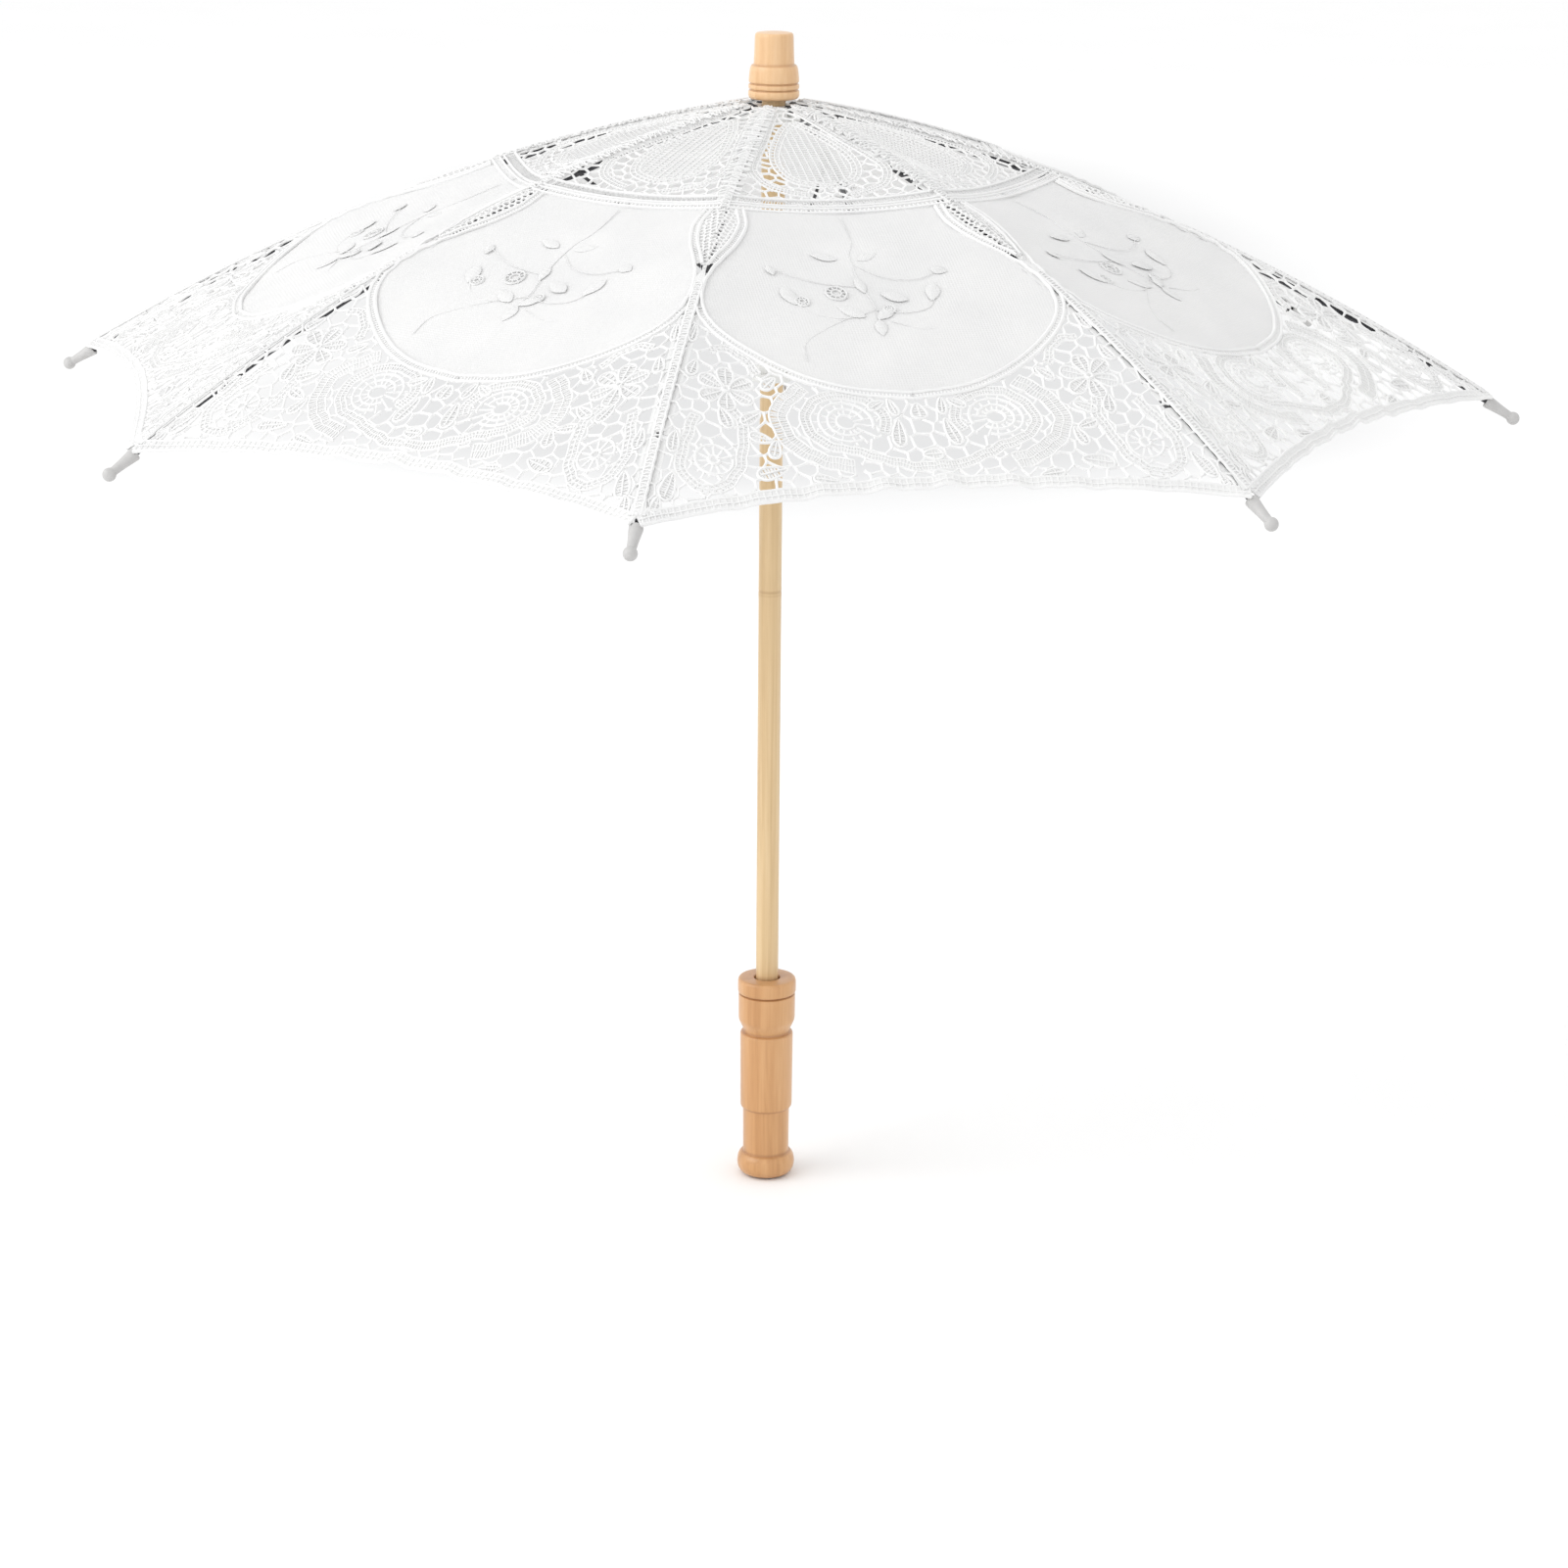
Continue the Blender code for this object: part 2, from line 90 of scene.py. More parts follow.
def hem_y(x):
    """Outer edge of the gore."""
    y = np.full_like(np.asarray(x, float), EDGE_MID * COS)
    for _ in range(6):
        u = np.clip(np.abs(x) / (y * TAN), 0, 1)
        y = (EDGE_MID + EDGE_RISE * u**1.8) * COS
    return y


def noise(*seeds):
    """A repeatable number from -1 to 1."""
    v = math.sin(sum(s * k for s, k in zip(seeds, (12.9898, 78.233, 37.719, 4.581)))) * 43758.5453
    return 2 * (v - math.floor(v)) - 1


# ------------------------------------------------------------------ mesh collecting
class Work:
    """Closed threads, bands and patches gathered into one mesh."""

    def __init__(self):
        self.verts, self.faces, self.slots, self.count = [], [], [], 0
        self.uv = []

    def add(self, v, faces, slot=0, uv=None):
        self.verts.append(np.asarray(v, float))
        self.faces.extend([tuple(int(i) + self.count for i in f) for f in faces])
        self.slots.extend([slot] * len(faces))
        self.count += len(v)

    def thread(self, pts, ups, radius, sides=5, flat=1.0, slot=0, loop=False):
        """A round or flattened thread along points in space."""
        p = np.asarray(pts, float)
        n = len(p)
        if n < 2:
            return
        if loop:
            t = np.roll(p, -1, 0) - np.roll(p, 1, 0)
        else:
            t = np.gradient(p, axis=0)
        t /= np.maximum(np.linalg.norm(t, axis=1, keepdims=True), 1e-12)
        side = np.cross(t, ups)
        side /= np.maximum(np.linalg.norm(side, axis=1, keepdims=True), 1e-12)
        up = np.cross(side, t)
        r = np.broadcast_to(np.asarray(radius, float), (n,))[:, None]
        a = np.arange(sides) * 2 * np.pi / sides + np.pi / sides
        rings = (
            p[:, None, :]
            + side[:, None, :] * (np.cos(a)[None, :] * r)[..., None]
            + up[:, None, :] * (np.sin(a)[None, :] * r * flat)[..., None]
        )
        faces = []
        last = n if loop else n - 1
        i = np.repeat(np.arange(last), sides)
        j = np.tile(np.arange(sides), last)
        k = (j + 1) % sides
        m = (i + 1) % n
        quads = np.stack([i * sides + j, m * sides + j, m * sides + k, i * sides + k], 1)
        faces = quads.tolist()
        if not loop:
            faces.append(list(range(sides)))
            faces.append(list(range((n - 1) * sides, n * sides))[::-1])
        self.add(rings.reshape(-1, 3), faces, slot)

    def mesh(self, name, materials, flip=False, smooth=35):
        made = bpy.data.meshes.new(name)
        v = np.concatenate(self.verts)
        made.from_pydata(v.tolist(), [], self.faces if not flip else [f[::-1] for f in self.faces])
        for m in materials:
            made.materials.append(m)
        made.polygons.foreach_set("material_index", self.slots)
        made.polygons.foreach_set("use_smooth", [True] * len(self.faces))
        made.update()
        if smooth < 180:
            made.set_sharp_from_angle(angle=math.radians(smooth))
        return made


def outward(made):
    """Faces turned outwards, so that a mesh is a closed solid."""
    bm = bmesh.new()
    bm.from_mesh(made)
    bmesh.ops.recalc_face_normals(bm, faces=bm.faces)
    bm.to_mesh(made)
    bm.free()


# ------------------------------------------------------------------ materials
def nodes_of(name):
    m = bpy.data.materials.new(name)
    m.use_nodes = True
    t = m.node_tree
    return m, t, t.nodes["Principled BSDF"]


def link(t, a, b):
    t.links.new(a, b)


def ramp(t, fac, stops):
    n = t.nodes.new("ShaderNodeValToRGB")
    while len(n.color_ramp.elements) < len(stops):
        n.color_ramp.elements.new(0.5)
    for e, (p, c) in zip(n.color_ramp.elements, stops):
        e.position, e.color = p, (*c, 1)
    link(t, fac, n.inputs["Fac"])
    return n.outputs["Color"]


def texture(t, kind, coords, **values):
    n = t.nodes.new(kind)
    for k, v in values.items():
        if k in n.inputs:
            n.inputs[k].default_value = v
        else:
            setattr(n, k, v)
    link(t, coords, n.inputs["Vector"])
    return n


def bumped(t, shader, height, strength, distance):
    b = t.nodes.new("ShaderNodeBump")
    b.inputs["Strength"].default_value = strength
    b.inputs["Distance"].default_value = distance
    link(t, height, b.inputs["Height"])
    link(t, b.outputs["Normal"], shader.inputs["Normal"])
    return b


def maths(t, op, a, b=None):
    n = t.nodes.new("ShaderNodeMath")
    n.operation = op
    for i, v in enumerate((a, b)):
        if v is None:
            continue
        if isinstance(v, (int, float)):
            n.inputs[i].default_value = v
        else:
            link(t, v, n.inputs[i])
    return n.outputs[0]


def cloth(name, colour, warm, pitch, strength, through=0.25, rough=0.85):
    """White cotton: a woven or twisted surface with soft variation, and some light passing through."""
    m, t, s = nodes_of(name)
    c = t.nodes.new("ShaderNodeTexCoord").outputs["Object"]
    cloud = texture(t, "ShaderNodeTexNoise", c, Scale=38.0, Detail=4.0)
    tint = ramp(t, cloud.outputs["Fac"], [(0.30, colour), (0.75, warm)])
    link(t, tint, s.inputs["Base Color"])
    s.inputs["Roughness"].default_value = rough
    s.inputs["Specular IOR Level"].default_value = 0.25
    s.inputs["Sheen Weight"].default_value = 0.25
    s.inputs["Sheen Roughness"].default_value = 0.5
    warp = texture(t, "ShaderNodeTexWave", c, wave_type="BANDS", bands_direction="X", Scale=pitch, Distortion=1.2, Detail=1.0)
    warp.inputs["Detail Scale"].default_value = 2.0
    weft = texture(t, "ShaderNodeTexWave", c, wave_type="BANDS", bands_direction="Y", Scale=pitch, Distortion=1.2, Detail=1.0)
    weft.inputs["Detail Scale"].default_value = 2.0
    slub = texture(t, "ShaderNodeTexNoise", c, Scale=900.0, Detail=2.0)
    weave = maths(t, "MULTIPLY", warp.outputs["Fac"], weft.outputs["Fac"])
    height = maths(t, "ADD", weave, maths(t, "MULTIPLY", slub.outputs["Fac"], 0.5))
    b = bumped(t, s, height, strength, 0.00018)
    thin = t.nodes.new("ShaderNodeBsdfTranslucent")
    link(t, tint, thin.inputs["Color"])
    link(t, b.outputs["Normal"], thin.inputs["Normal"])
    mix = t.nodes.new("ShaderNodeMixShader")
    mix.inputs["Fac"].default_value = through
    out = t.nodes["Material Output"]
    link(t, s.outputs["BSDF"], mix.inputs[1])
    link(t, thin.outputs["BSDF"], mix.inputs[2])
    link(t, mix.outputs["Shader"], out.inputs["Surface"])
    return m


LINEN = cloth("linen_cloth", (0.785, 0.785, 0.785), (0.825, 0.823, 0.820), 320.0, 0.35, 0.20)
THREAD = cloth("cotton_thread", (0.86, 0.86, 0.86), (0.90, 0.90, 0.895), 600.0, 0.4, 0.12, 0.8)
TAPE = cloth("woven_tape", (0.805, 0.805, 0.805), (0.85, 0.85, 0.845), 420.0, 0.5, 0.12, 0.85)
SATIN = cloth("satin_stitch", (0.815, 0.815, 0.815), (0.86, 0.86, 0.855), 520.0, 0.7, 0.12, 0.50)


def wood(name, light, mid, dark, axis_scale, gloss, bump=0.25, shade_bands=(), shade_colour=(0.30, 0.12, 0.04)):
    m, t, s = nodes_of(name)
    c = t.nodes.new("ShaderNodeTexCoord").outputs["Object"]
    mp = t.nodes.new("ShaderNodeMapping")
    mp.inputs["Scale"].default_value = (1, 1, axis_scale)
    link(t, c, mp.inputs["Vector"])
    figure = texture(t, "ShaderNodeTexNoise", mp.outputs["Vector"], Scale=170.0, Detail=6.0, Roughness=0.6, Distortion=0.6)
    fine = texture(t, "ShaderNodeTexNoise", mp.outputs["Vector"], Scale=900.0, Detail=3.0)
    tone = maths(t, "ADD", maths(t, "MULTIPLY", figure.outputs["Fac"], 0.8), maths(t, "MULTIPLY", fine.outputs["Fac"], 0.25))
    colour = ramp(t, tone, [(0.34, dark), (0.52, mid), (0.70, light)])
    if shade_bands:
        # painted shade: darker bands in the grooves, under steps and lips, on the handle's top and where the stick
        # meets the handle: (height, half width, strength), in millimetres
        split = t.nodes.new("ShaderNodeSeparateXYZ")
        link(t, c, split.inputs["Vector"])
        total = None
        for z, half, strength in shade_bands:
            far = maths(t, "ABSOLUTE", maths(t, "SUBTRACT", split.outputs["Z"], z / 1000))
            mask = maths(t, "MAXIMUM", maths(t, "SUBTRACT", 1.0, maths(t, "DIVIDE", far, half / 1000)), 0.0)
            mask = maths(t, "MULTIPLY", mask, strength)
            total = mask if total is None else maths(t, "MAXIMUM", total, mask)
        shade_mix = t.nodes.new("ShaderNodeMix")
        shade_mix.data_type = "RGBA"
        link(t, total, shade_mix.inputs[0])
        link(t, colour, shade_mix.inputs[6])
        shade_mix.inputs[7].default_value = (*shade_colour, 1)
        colour = shade_mix.outputs[2]
    link(t, colour, s.inputs["Base Color"])
    rough = t.nodes.new("ShaderNodeMapRange")
    link(t, figure.outputs["Fac"], rough.inputs["Value"])
    rough.inputs["To Min"].default_value = gloss - 0.06
    rough.inputs["To Max"].default_value = gloss + 0.10
    link(t, rough.outputs["Result"], s.inputs["Roughness"])
    s.inputs["Coat Weight"].default_value = 0.35
    s.inputs["Coat Roughness"].default_value = 0.28
    lathe = texture(t, "ShaderNodeTexWave", c, wave_type="BANDS", bands_direction="Z", Scale=420.0, Distortion=0.6, Detail=1.0)
    height = maths(t, "ADD", maths(t, "MULTIPLY", fine.outputs["Fac"], 0.7), maths(t, "MULTIPLY", lathe.outputs["Fac"], 0.3))
    bumped(t, s, height, bump, 0.0002)
    return m


# the last table of each wood lists its bands of painted shade: (height, half width, strength), in millimetres
PEACH = wood(
    "peach_ferrule_wood", (0.79, 0.535, 0.31), (0.73, 0.465, 0.245), (0.65, 0.385, 0.185), 0.06, 0.40, 0.25,
    ((418.9, 0.75, 0.42), (412.4, 0.50, 0.60), (410.2, 0.50, 0.60), (406.9, 0.9, 0.5)),
)
GRIP = wood(
    "tan_handle_wood", (0.65, 0.368, 0.168), (0.575, 0.30, 0.12), (0.475, 0.23, 0.083), 0.05, 0.34, 0.25,
    ((78.6, 0.35, 0.35), (72.6, 0.65, 0.80), (57.3, 1.0, 0.50), (26.75, 0.6, 0.60), (9.0, 0.9, 0.50), (0.0, 1.0, 0.45)),
)
STICK = wood(
    "bamboo_stick_wood", (0.74, 0.56, 0.33), (0.66, 0.47, 0.25), (0.54, 0.36, 0.17), 0.03, 0.38, 0.25,
    ((228.2, 0.9, 0.35), (226.9, 0.5, 0.18), (78.5, 1.5, 0.4)),
)


def solid_material(name, colour, rough, metal=0.0, grain=400.0, strength=0.12, tint=0.06):
    m, t, s = nodes_of(name)
    c = t.nodes.new("ShaderNodeTexCoord").outputs["Object"]
    cloud = texture(t, "ShaderNodeTexNoise", c, Scale=grain, Detail=4.0)
    dark = tuple(max(0, v - tint) for v in colour)
    link(t, ramp(t, cloud.outputs["Fac"], [(0.35, dark), (0.65, colour)]), s.inputs["Base Color"])
    r = t.nodes.new("ShaderNodeMapRange")
    link(t, cloud.outputs["Fac"], r.inputs["Value"])
    r.inputs["To Min"].default_value = rough - 0.06
    r.inputs["To Max"].default_value = rough + 0.08
    link(t, r.outputs["Result"], s.inputs["Roughness"])
    s.inputs["Metallic"].default_value = metal
    bumped(t, s, cloud.outputs["Fac"], strength, 0.0001)
    return m


STEEL = solid_material("dark_rib_steel", (0.075, 0.075, 0.08), 0.38, 0.85, 700.0, 0.2, 0.03)
ZINC = solid_material("zinc_wire", (0.62, 0.62, 0.64), 0.30, 0.9, 800.0, 0.15, 0.08)
GREY = solid_material("grey_tip_plastic", (0.50, 0.495, 0.49), 0.42, 0.0, 500.0, 0.08, 0.03)
WHITE = solid_material("white_runner_plastic", (0.80, 0.80, 0.78), 0.42, 0.0, 500.0, 0.06, 0.03)

# ------------------------------------------------------------------ one gore's drawing, in flat coordinates
PETAL = [
    (0.0325, 0.0958), (0.0335, 0.1040), (0.0362, 0.1105), (0.0405, 0.1175), (0.0465, 0.1250),
    (0.0526, 0.1335), (0.0566, 0.1420), (0.0580, 0.1500), (0.0566, 0.1570), (0.0527, 0.1635),
    (0.0467, 0.1700), (0.0390, 0.1765), (0.0295, 0.1825), (0.0175, 0.1872), (0.0, 0.1895),
]


def curve(points, step=0.0012, closed=False):
    """A smooth line through points, with even steps."""
    p = np.asarray(points, float)
    if closed:
        ext = np.vstack([p[-1:], p, p[:2]])
    else:
        ext = np.vstack([2 * p[0] - p[1], p, 2 * p[-1] - p[-2]])
    out = []
    for i in range(1, len(ext) - 2):
        a, b, c, d = ext[i - 1], ext[i], ext[i + 1], ext[i + 2]
        for t in np.linspace(0, 1, 14, endpoint=False):
            out.append(0.5 * (2 * b + (c - a) * t + (2 * a - 5 * b + 4 * c - d) * t * t + (3 * b - a - 3 * c + d) * t**3))
    out.append(ext[-2])
    return even(np.array(out), step)


def even(p, step):
    d = np.concatenate([[0], np.cumsum(np.linalg.norm(np.diff(p, axis=0), axis=1))])
    n = max(2, int(round(d[-1] / step)) + 1)
    s = np.linspace(0, d[-1], n)
    return np.stack([np.interp(s, d, p[:, 0]), np.interp(s, d, p[:, 1])], 1)


def sideways(p):
    t = np.gradient(p, axis=0)
    t /= np.maximum(np.linalg.norm(t, axis=1, keepdims=True), 1e-12)
    return np.stack([-t[:, 1], t[:, 0]], 1)


PETAL_RIGHT = curve(PETAL)
PETAL_LEFT = PETAL_RIGHT * [-1, 1]
PETAL_LINE = np.vstack([PETAL_RIGHT[:-1], PETAL_LEFT[::-1]])


class Drawing:
    """The threads of a whole gore, each with its line, radius and height over the cloth."""

    def __init__(self):
        self.threads, self.bands = [], []

    def line(self, p, radius, lift=0.0, sides=5, flat=1.0, slot=0):
        p = np.asarray(p, float)
        if len(p) >= 2:
            self.threads.append((p, radius, lift, sides, flat, slot))

    def tape(self, p, width, kind="ladder", pitch=0.0013, edge=0.00034, lift=0.0, slot=1, closed=False, middle=True):
        """Woven tape: corded edges with threads crossing between them."""
        n = sideways(p)
        h = width / 2
        self.bands.append((p, h))
        for s in (-1, 1):
            self.line(p + n * s * (h - edge), edge, lift + 0.0001, 5, 1.0, 0)
        fine = even(p, pitch)
        m = sideways(fine)
        last = len(fine) - 1
        for i in range(len(fine)):
            j = i if kind == "ladder" else min(i + 1, last) if i % 2 else max(i - 1, 0)
            a, b = fine[i] - m[i] * (h - edge), fine[j] + m[j] * (h - edge)
            self.line([a, (a + b) / 2, b], 0.00038, lift + (0.0001 if i % 2 else 0), 4, 1.0, slot)
        if middle:
            self.line(p, 0.00026, lift + 0.00022, 4, 1.0, 0)


def inside(poly, pts):
    """Which points lie in a polygon."""
    x, y = pts[:, 0], pts[:, 1]
    px, py = poly[:, 0], poly[:, 1]
    qx, qy = np.roll(px, -1), np.roll(py, -1)
    hit = ((py[:, None] > y) != (qy[:, None] > y)) & (
        x < (qx - px)[:, None] * (y - py[:, None]) / np.where(qy == py, 1e-12, qy - py)[:, None] + px[:, None]
    )
    return hit.sum(0) % 2 == 1


def cells(spacing, x0, x1, y0, y1, jitter, seed):
    """Edges of an irregular net over a box."""
    pts, rows = [], int((y1 - y0) / (spacing * 0.87)) + 2
    for i in range(-1, rows):
        for j in range(-1, int((x1 - x0) / spacing) + 2):
            pts.append((
                x0 + (j + 0.5 * (i % 2)) * spacing + jitter * spacing * noise(i, j, seed),
                y0 + i * spacing * 0.87 + jitter * spacing * noise(j, i, seed + 7.7),
            ))
    _, _, tris, *_ = delaunay_2d_cdt([Vector(p) for p in pts], [], [], 0, 1e-7)
    centre, sides = [], {}
    for t, f in enumerate(tris):
        a, b, c = (np.array(pts[i]) for i in f)
        d = 2 * (a[0] * (b[1] - c[1]) + b[0] * (c[1] - a[1]) + c[0] * (a[1] - b[1]))
        if abs(d) < 1e-14:
            centre.append((a + b + c) / 3)
        else:
            q = [v @ v for v in (a, b, c)]
            centre.append(np.array([
                (q[0] * (b[1] - c[1]) + q[1] * (c[1] - a[1]) + q[2] * (a[1] - b[1])) / d,
                (q[0] * (c[0] - b[0]) + q[1] * (a[0] - c[0]) + q[2] * (b[0] - a[0])) / d,
            ]))
        for i in range(3):
            sides.setdefault(frozenset((f[i], f[(i + 1) % 3])), []).append(t)
    edges = []
    for pair in sides.values():
        if len(pair) == 2:
            a, b = centre[pair[0]], centre[pair[1]]
            if 1e-5 < np.linalg.norm(a - b) < spacing * 2:
                edges.append((a, b))
    return edges


def kept(p, test):
    """The runs of a line where test holds."""
    ok = test(p)
    runs, start = [], None
    for i, good in enumerate(ok):
        if good and start is None:
            start = i
        if not good and start is not None:
            if i - start >= 2:
                runs.append(p[start:i])
            start = None
    if start is not None and len(p) - start >= 2:
        runs.append(p[start:])
    return runs


def off_bands(bands, inset=0.0004):
    def test(p):
        ok = np.ones(len(p), bool)
        for line, h in bands:
            d = np.linalg.norm(p[:, None, :] - line[None, ::2, :], axis=2).min(1)
            ok &= d > h - inset
        return ok
    return test


def arc(cx, cy, r, a0, a1, r1=None, step=0.0012):
    n = max(6, int(abs(math.radians(a1 - a0)) * max(r, r1 or r) / step))
    a = np.radians(np.linspace(a0, a1, n))
    rr = np.linspace(r, r1 if r1 is not None else r, n)
    return np.stack([cx + rr * np.cos(a), cy + rr * np.sin(a)], 1)


draw = Drawing()

# Linen petal's double cord border, with stitches between the cords
border_n = sideways(PETAL_LINE)
if border_n[0, 0] > 0 and PETAL_LINE[5, 0] > 0:
    out_sign = 1
else:
    out_sign = -1
# outward is away from the petal's middle
mid = np.array([0.0, 0.145])
if ((border_n * out_sign) * (PETAL_LINE - mid)).sum() < 0:
    out_sign = -out_sign
cord_in = PETAL_LINE + border_n * out_sign * 0.0003
cord_out = PETAL_LINE + border_n * out_sign * 0.0027
limit = lambda p: np.abs(p[:, 0]) < p[:, 1] * TAN - SEAM + 0.0006
draw.line(cord_in, 0.00066, 0.0005, 6)
for run in kept(cord_out, limit):
    draw.line(run, 0.00064, 0.0004, 6)
rung_line = even(PETAL_LINE, 0.00118)
rung_n = sideways(rung_line) * out_sign
for i in range(1, len(rung_line) - 1):
    a, b = rung_line[i] + rung_n[i] * 0.0005, rung_line[i] + rung_n[i] * 0.0025
    if abs(b[0]) < b[1] * TAN - SEAM:
        draw.line([a, b], 0.00036, 0.0002, 4)
OUTLINE = cord_out

# Crown border braid: two cords and a fine ladder, then a fagoted row joined to the petals
TOP = 0.0948
xs = lambda y: y * TAN - SEAM
for y, radius in ((0.0946, 0.0006), (0.0920, 0.0005), (0.0905, 0.0005), (0.0868, 0.0006)):
    draw.line(np.stack([np.linspace(-xs(y), xs(y), 60), np.full(60, y)], 1), radius, 0.0003, 5)
n_rungs = 48
for i in range(n_rungs + 1):
    f = -1 + 2 * i / n_rungs
    draw.line([(f * xs(0.0920), 0.0920), (f * xs(0.0946), 0.0946)], 0.00032, 0.0001, 4)
zig = np.array([(-1 + 2 * i / 70, 0.0868 if i % 2 else 0.0905) for i in range(71)])
draw.line(np.stack([zig[:, 0] * xs(zig[:, 1]), zig[:, 1]], 1), 0.00034, 0.0001, 4, 1.0, 1)
zig2 = zig.copy()
zig2[:, 1] = np.where(zig[:, 1] > 0.088, 0.0868, 0.0905)
draw.line(np.stack([zig2[:, 0] * xs(zig2[:, 1]), zig2[:, 1]], 1), 0.00034, -0.0001, 4, 1.0, 1)
BRAID = (np.stack([np.linspace(-0.04, 0.04, 60), np.full(60, 0.0907)], 1), 0.0042)

# Outer band: tapes looping between the petal and the hem
tapes = []


def add_tape(points, width=0.0046, kind="ladder", closed=False, pitch=0.00098, edge=0.00042):
    p = points if isinstance(points, np.ndarray) and len(points) > 24 else curve(points, 0.0012, closed)
    n = sideways(p)
    wander = np.array([0.00022 * (math.sin(900 * x + 410 * y) + math.sin(500 * y - 760 * x)) for x, y in p])
    p = p + n * wander[:, None]
    for run in kept(p, lambda q: (np.abs(q[:, 0]) < q[:, 1] * TAN - width / 2 - 0.0002)):
        if len(run) > 3:
            draw.tape(run, width, kind, pitch, edge)
            tapes.append((run, width / 2))


def fill(poly, angle, gap, radius, lift=0.0, slot=1, sides=4):
    """Parallel threads worked across a closed shape."""
    a = math.radians(angle)
    d, e = np.array([math.cos(a), math.sin(a)]), np.array([-math.sin(a), math.cos(a)])
    mid = poly.mean(0)
    reach = np.linalg.norm(poly - mid, axis=1).max() + 0.001
    for i, off in enumerate(np.arange(-reach, reach, gap)):
        q = mid + e * (off + 0.1 * gap * noise(i, angle)) + d * np.arange(-reach, reach, 0.0004)[:, None]
        for run in kept(q, lambda v: inside(poly, v)):
            if len(run) > 2:
                draw.line(run[[0, len(run) // 2, -1]], radius, lift + 0.0001 * (-1) ** i, sides, 1.0, slot)


solids = []


def lobe(cx, cy, long, wide, angle, worked=True):
    """A leaf or petal of worked lace: an outline cord and threads across it."""
    a = math.radians(angle)
    d, e = np.array([math.cos(a), math.sin(a)]), np.array([-math.sin(a), math.cos(a)])
    t = np.linspace(0, 2 * np.pi, 33)[:-1]
    along = -np.cos(t) * long / 2
    across = np.sin(t) * wide / 2 * (0.82 + 0.32 * (-np.cos(t)))
    poly = np.array([cx, cy]) + along[:, None] * d + across[:, None] * e
    draw.line(np.vstack([poly, poly[:2]]), 0.00048, 0.00025, 5)
    if worked:
        fill(poly, angle + 90, 0.00105, 0.00040, 0.0)
        draw.line(np.array([cx, cy]) + d * np.linspace(-0.42, 0.42, 6)[:, None] * long, 0.00034, 0.0004, 4)
    solids.append(poly)


def flower(cx, cy, r, petals, turn, wide=0.9):
    for i in range(petals):
        a = turn + 360 * i / petals
        lobe(cx + r * 0.58 * math.cos(math.radians(a)), cy + r * 0.58 * math.sin(math.radians(a)), r * 0.86, r * wide * 4.4 / petals, a)
    draw.line(arc(cx, cy, 0.0011, 0, 350, None, 0.0006), 0.0006, 0.0006, 5)


for s in (-1, 1):
    m = lambda pts: [(s * x, y) for x, y in pts]
    A = lambda a: a if s > 0 else 180 - a
    # medallion beside the middle: a round of tape, opening at the bottom into the swag along the hem
    c = (0.0242, 0.2010)
    ring = [(c[0] + 0.0128 * math.cos(math.radians(a)), c[1] + 0.0112 * math.sin(math.radians(a))) for a in range(-205, 95, 15)]
    add_tape(m(ring + [(0.0165, 0.2165), (0.0080, 0.2195), (0.0, 0.2202)]), 0.0042, "ladder")
    # rounds of arcs inside it
    for i, r in enumerate((0.0086, 0.0058, 0.0030)):
        q = [(s * (c[0] + r * math.cos(math.radians(a))), c[1] + r * 0.9 * math.sin(math.radians(a))) for a in np.arange(-200 + 30 * i, 120 + 20 * i, 9)]
        draw.line(np.array(q), 0.00050, 0.0002, 5)
    for a in range(0, 360, 24):
        q = [(s * (c[0] + r * math.cos(math.radians(a + 3 * noise(a)))), c[1] + r * 0.9 * math.sin(math.radians(a + 3 * noise(a)))) for r in (0.0028, 0.0060, 0.0106)]
        draw.line(np.array(q), 0.00036, 0.0, 4)
    # hatched tape from the petal down past the medallion to the hem
    add_tape(m([(0.0345, 0.1860), (0.0400, 0.1905), (0.0445, 0.1965), (0.0450, 0.2040), (0.0415, 0.2110), (0.0345, 0.2165), (0.0260, 0.2195)]), 0.0064, "ladder", False, 0.00096)
    # worked flower by the seam
    flower(s * 0.0590, 0.1865, 0.0092, 6, A(20))
    # tape from the flower down beside the seam, closing round the wheel
    add_tape(m([(0.0475, 0.1795), (0.0500, 0.1735), (0.0550, 0.1690), (0.0600, 0.1690)]), 0.0036, "zigzag")
    add_tape(m([(0.0590, 0.1955), (0.0570, 0.2030), (0.0590, 0.2110), (0.0620, 0.2190), (0.0680, 0.2250), (0.0750, 0.2255), (0.0795, 0.2200), (0.0785, 0.2120), (0.0745, 0.2040), (0.0710, 0.1970)]), 0.0040, "zigzag")
    # leaves in the corner and under the petal
    lobe(s * 0.0852, 0.2240, 0.0110, 0.0052, A(62))
    lobe(s * 0.0520, 0.2205, 0.0100, 0.0056, A(15))
    lobe(s * 0.0490, 0.2110, 0.0070, 0.0042, A(70))
    lobe(s * 0.0085, 0.2065, 0.0110, 0.0050, A(80))
for s in (-1, 1):
    A = lambda a: a if s > 0 else 180 - a
    for x, y, long, wide, angle in (
        (0.0620, 0.1985, 0.0080, 0.0046, 100), (0.0675, 0.1770, 0.0070, 0.0040, 62), (0.0540, 0.1990, 0.0076, 0.0044, 30),
        (0.0525, 0.2065, 0.0070, 0.0040, -20), (0.0360, 0.2245, 0.0080, 0.0036, -8), (0.0130, 0.1945, 0.0060, 0.0036, 30),
        (0.0080, 0.1955, 0.0070, 0.0034, 100), (0.0905, 0.2310, 0.0064, 0.0036, 64), (0.0800, 0.2070, 0.0080, 0.0040, 70),
        (0.0450, 0.1840, 0.0066, 0.0040, 45), (0.0640, 0.1620, 0.0080, 0.0030, 66),
    ):
        lobe(s * x, y, long, wide, A(angle))
lobe(0.0, 0.1975, 0.0062, 0.0058, 90)
lobe(0.0, 0.2155, 0.0060, 0.0050, 0)

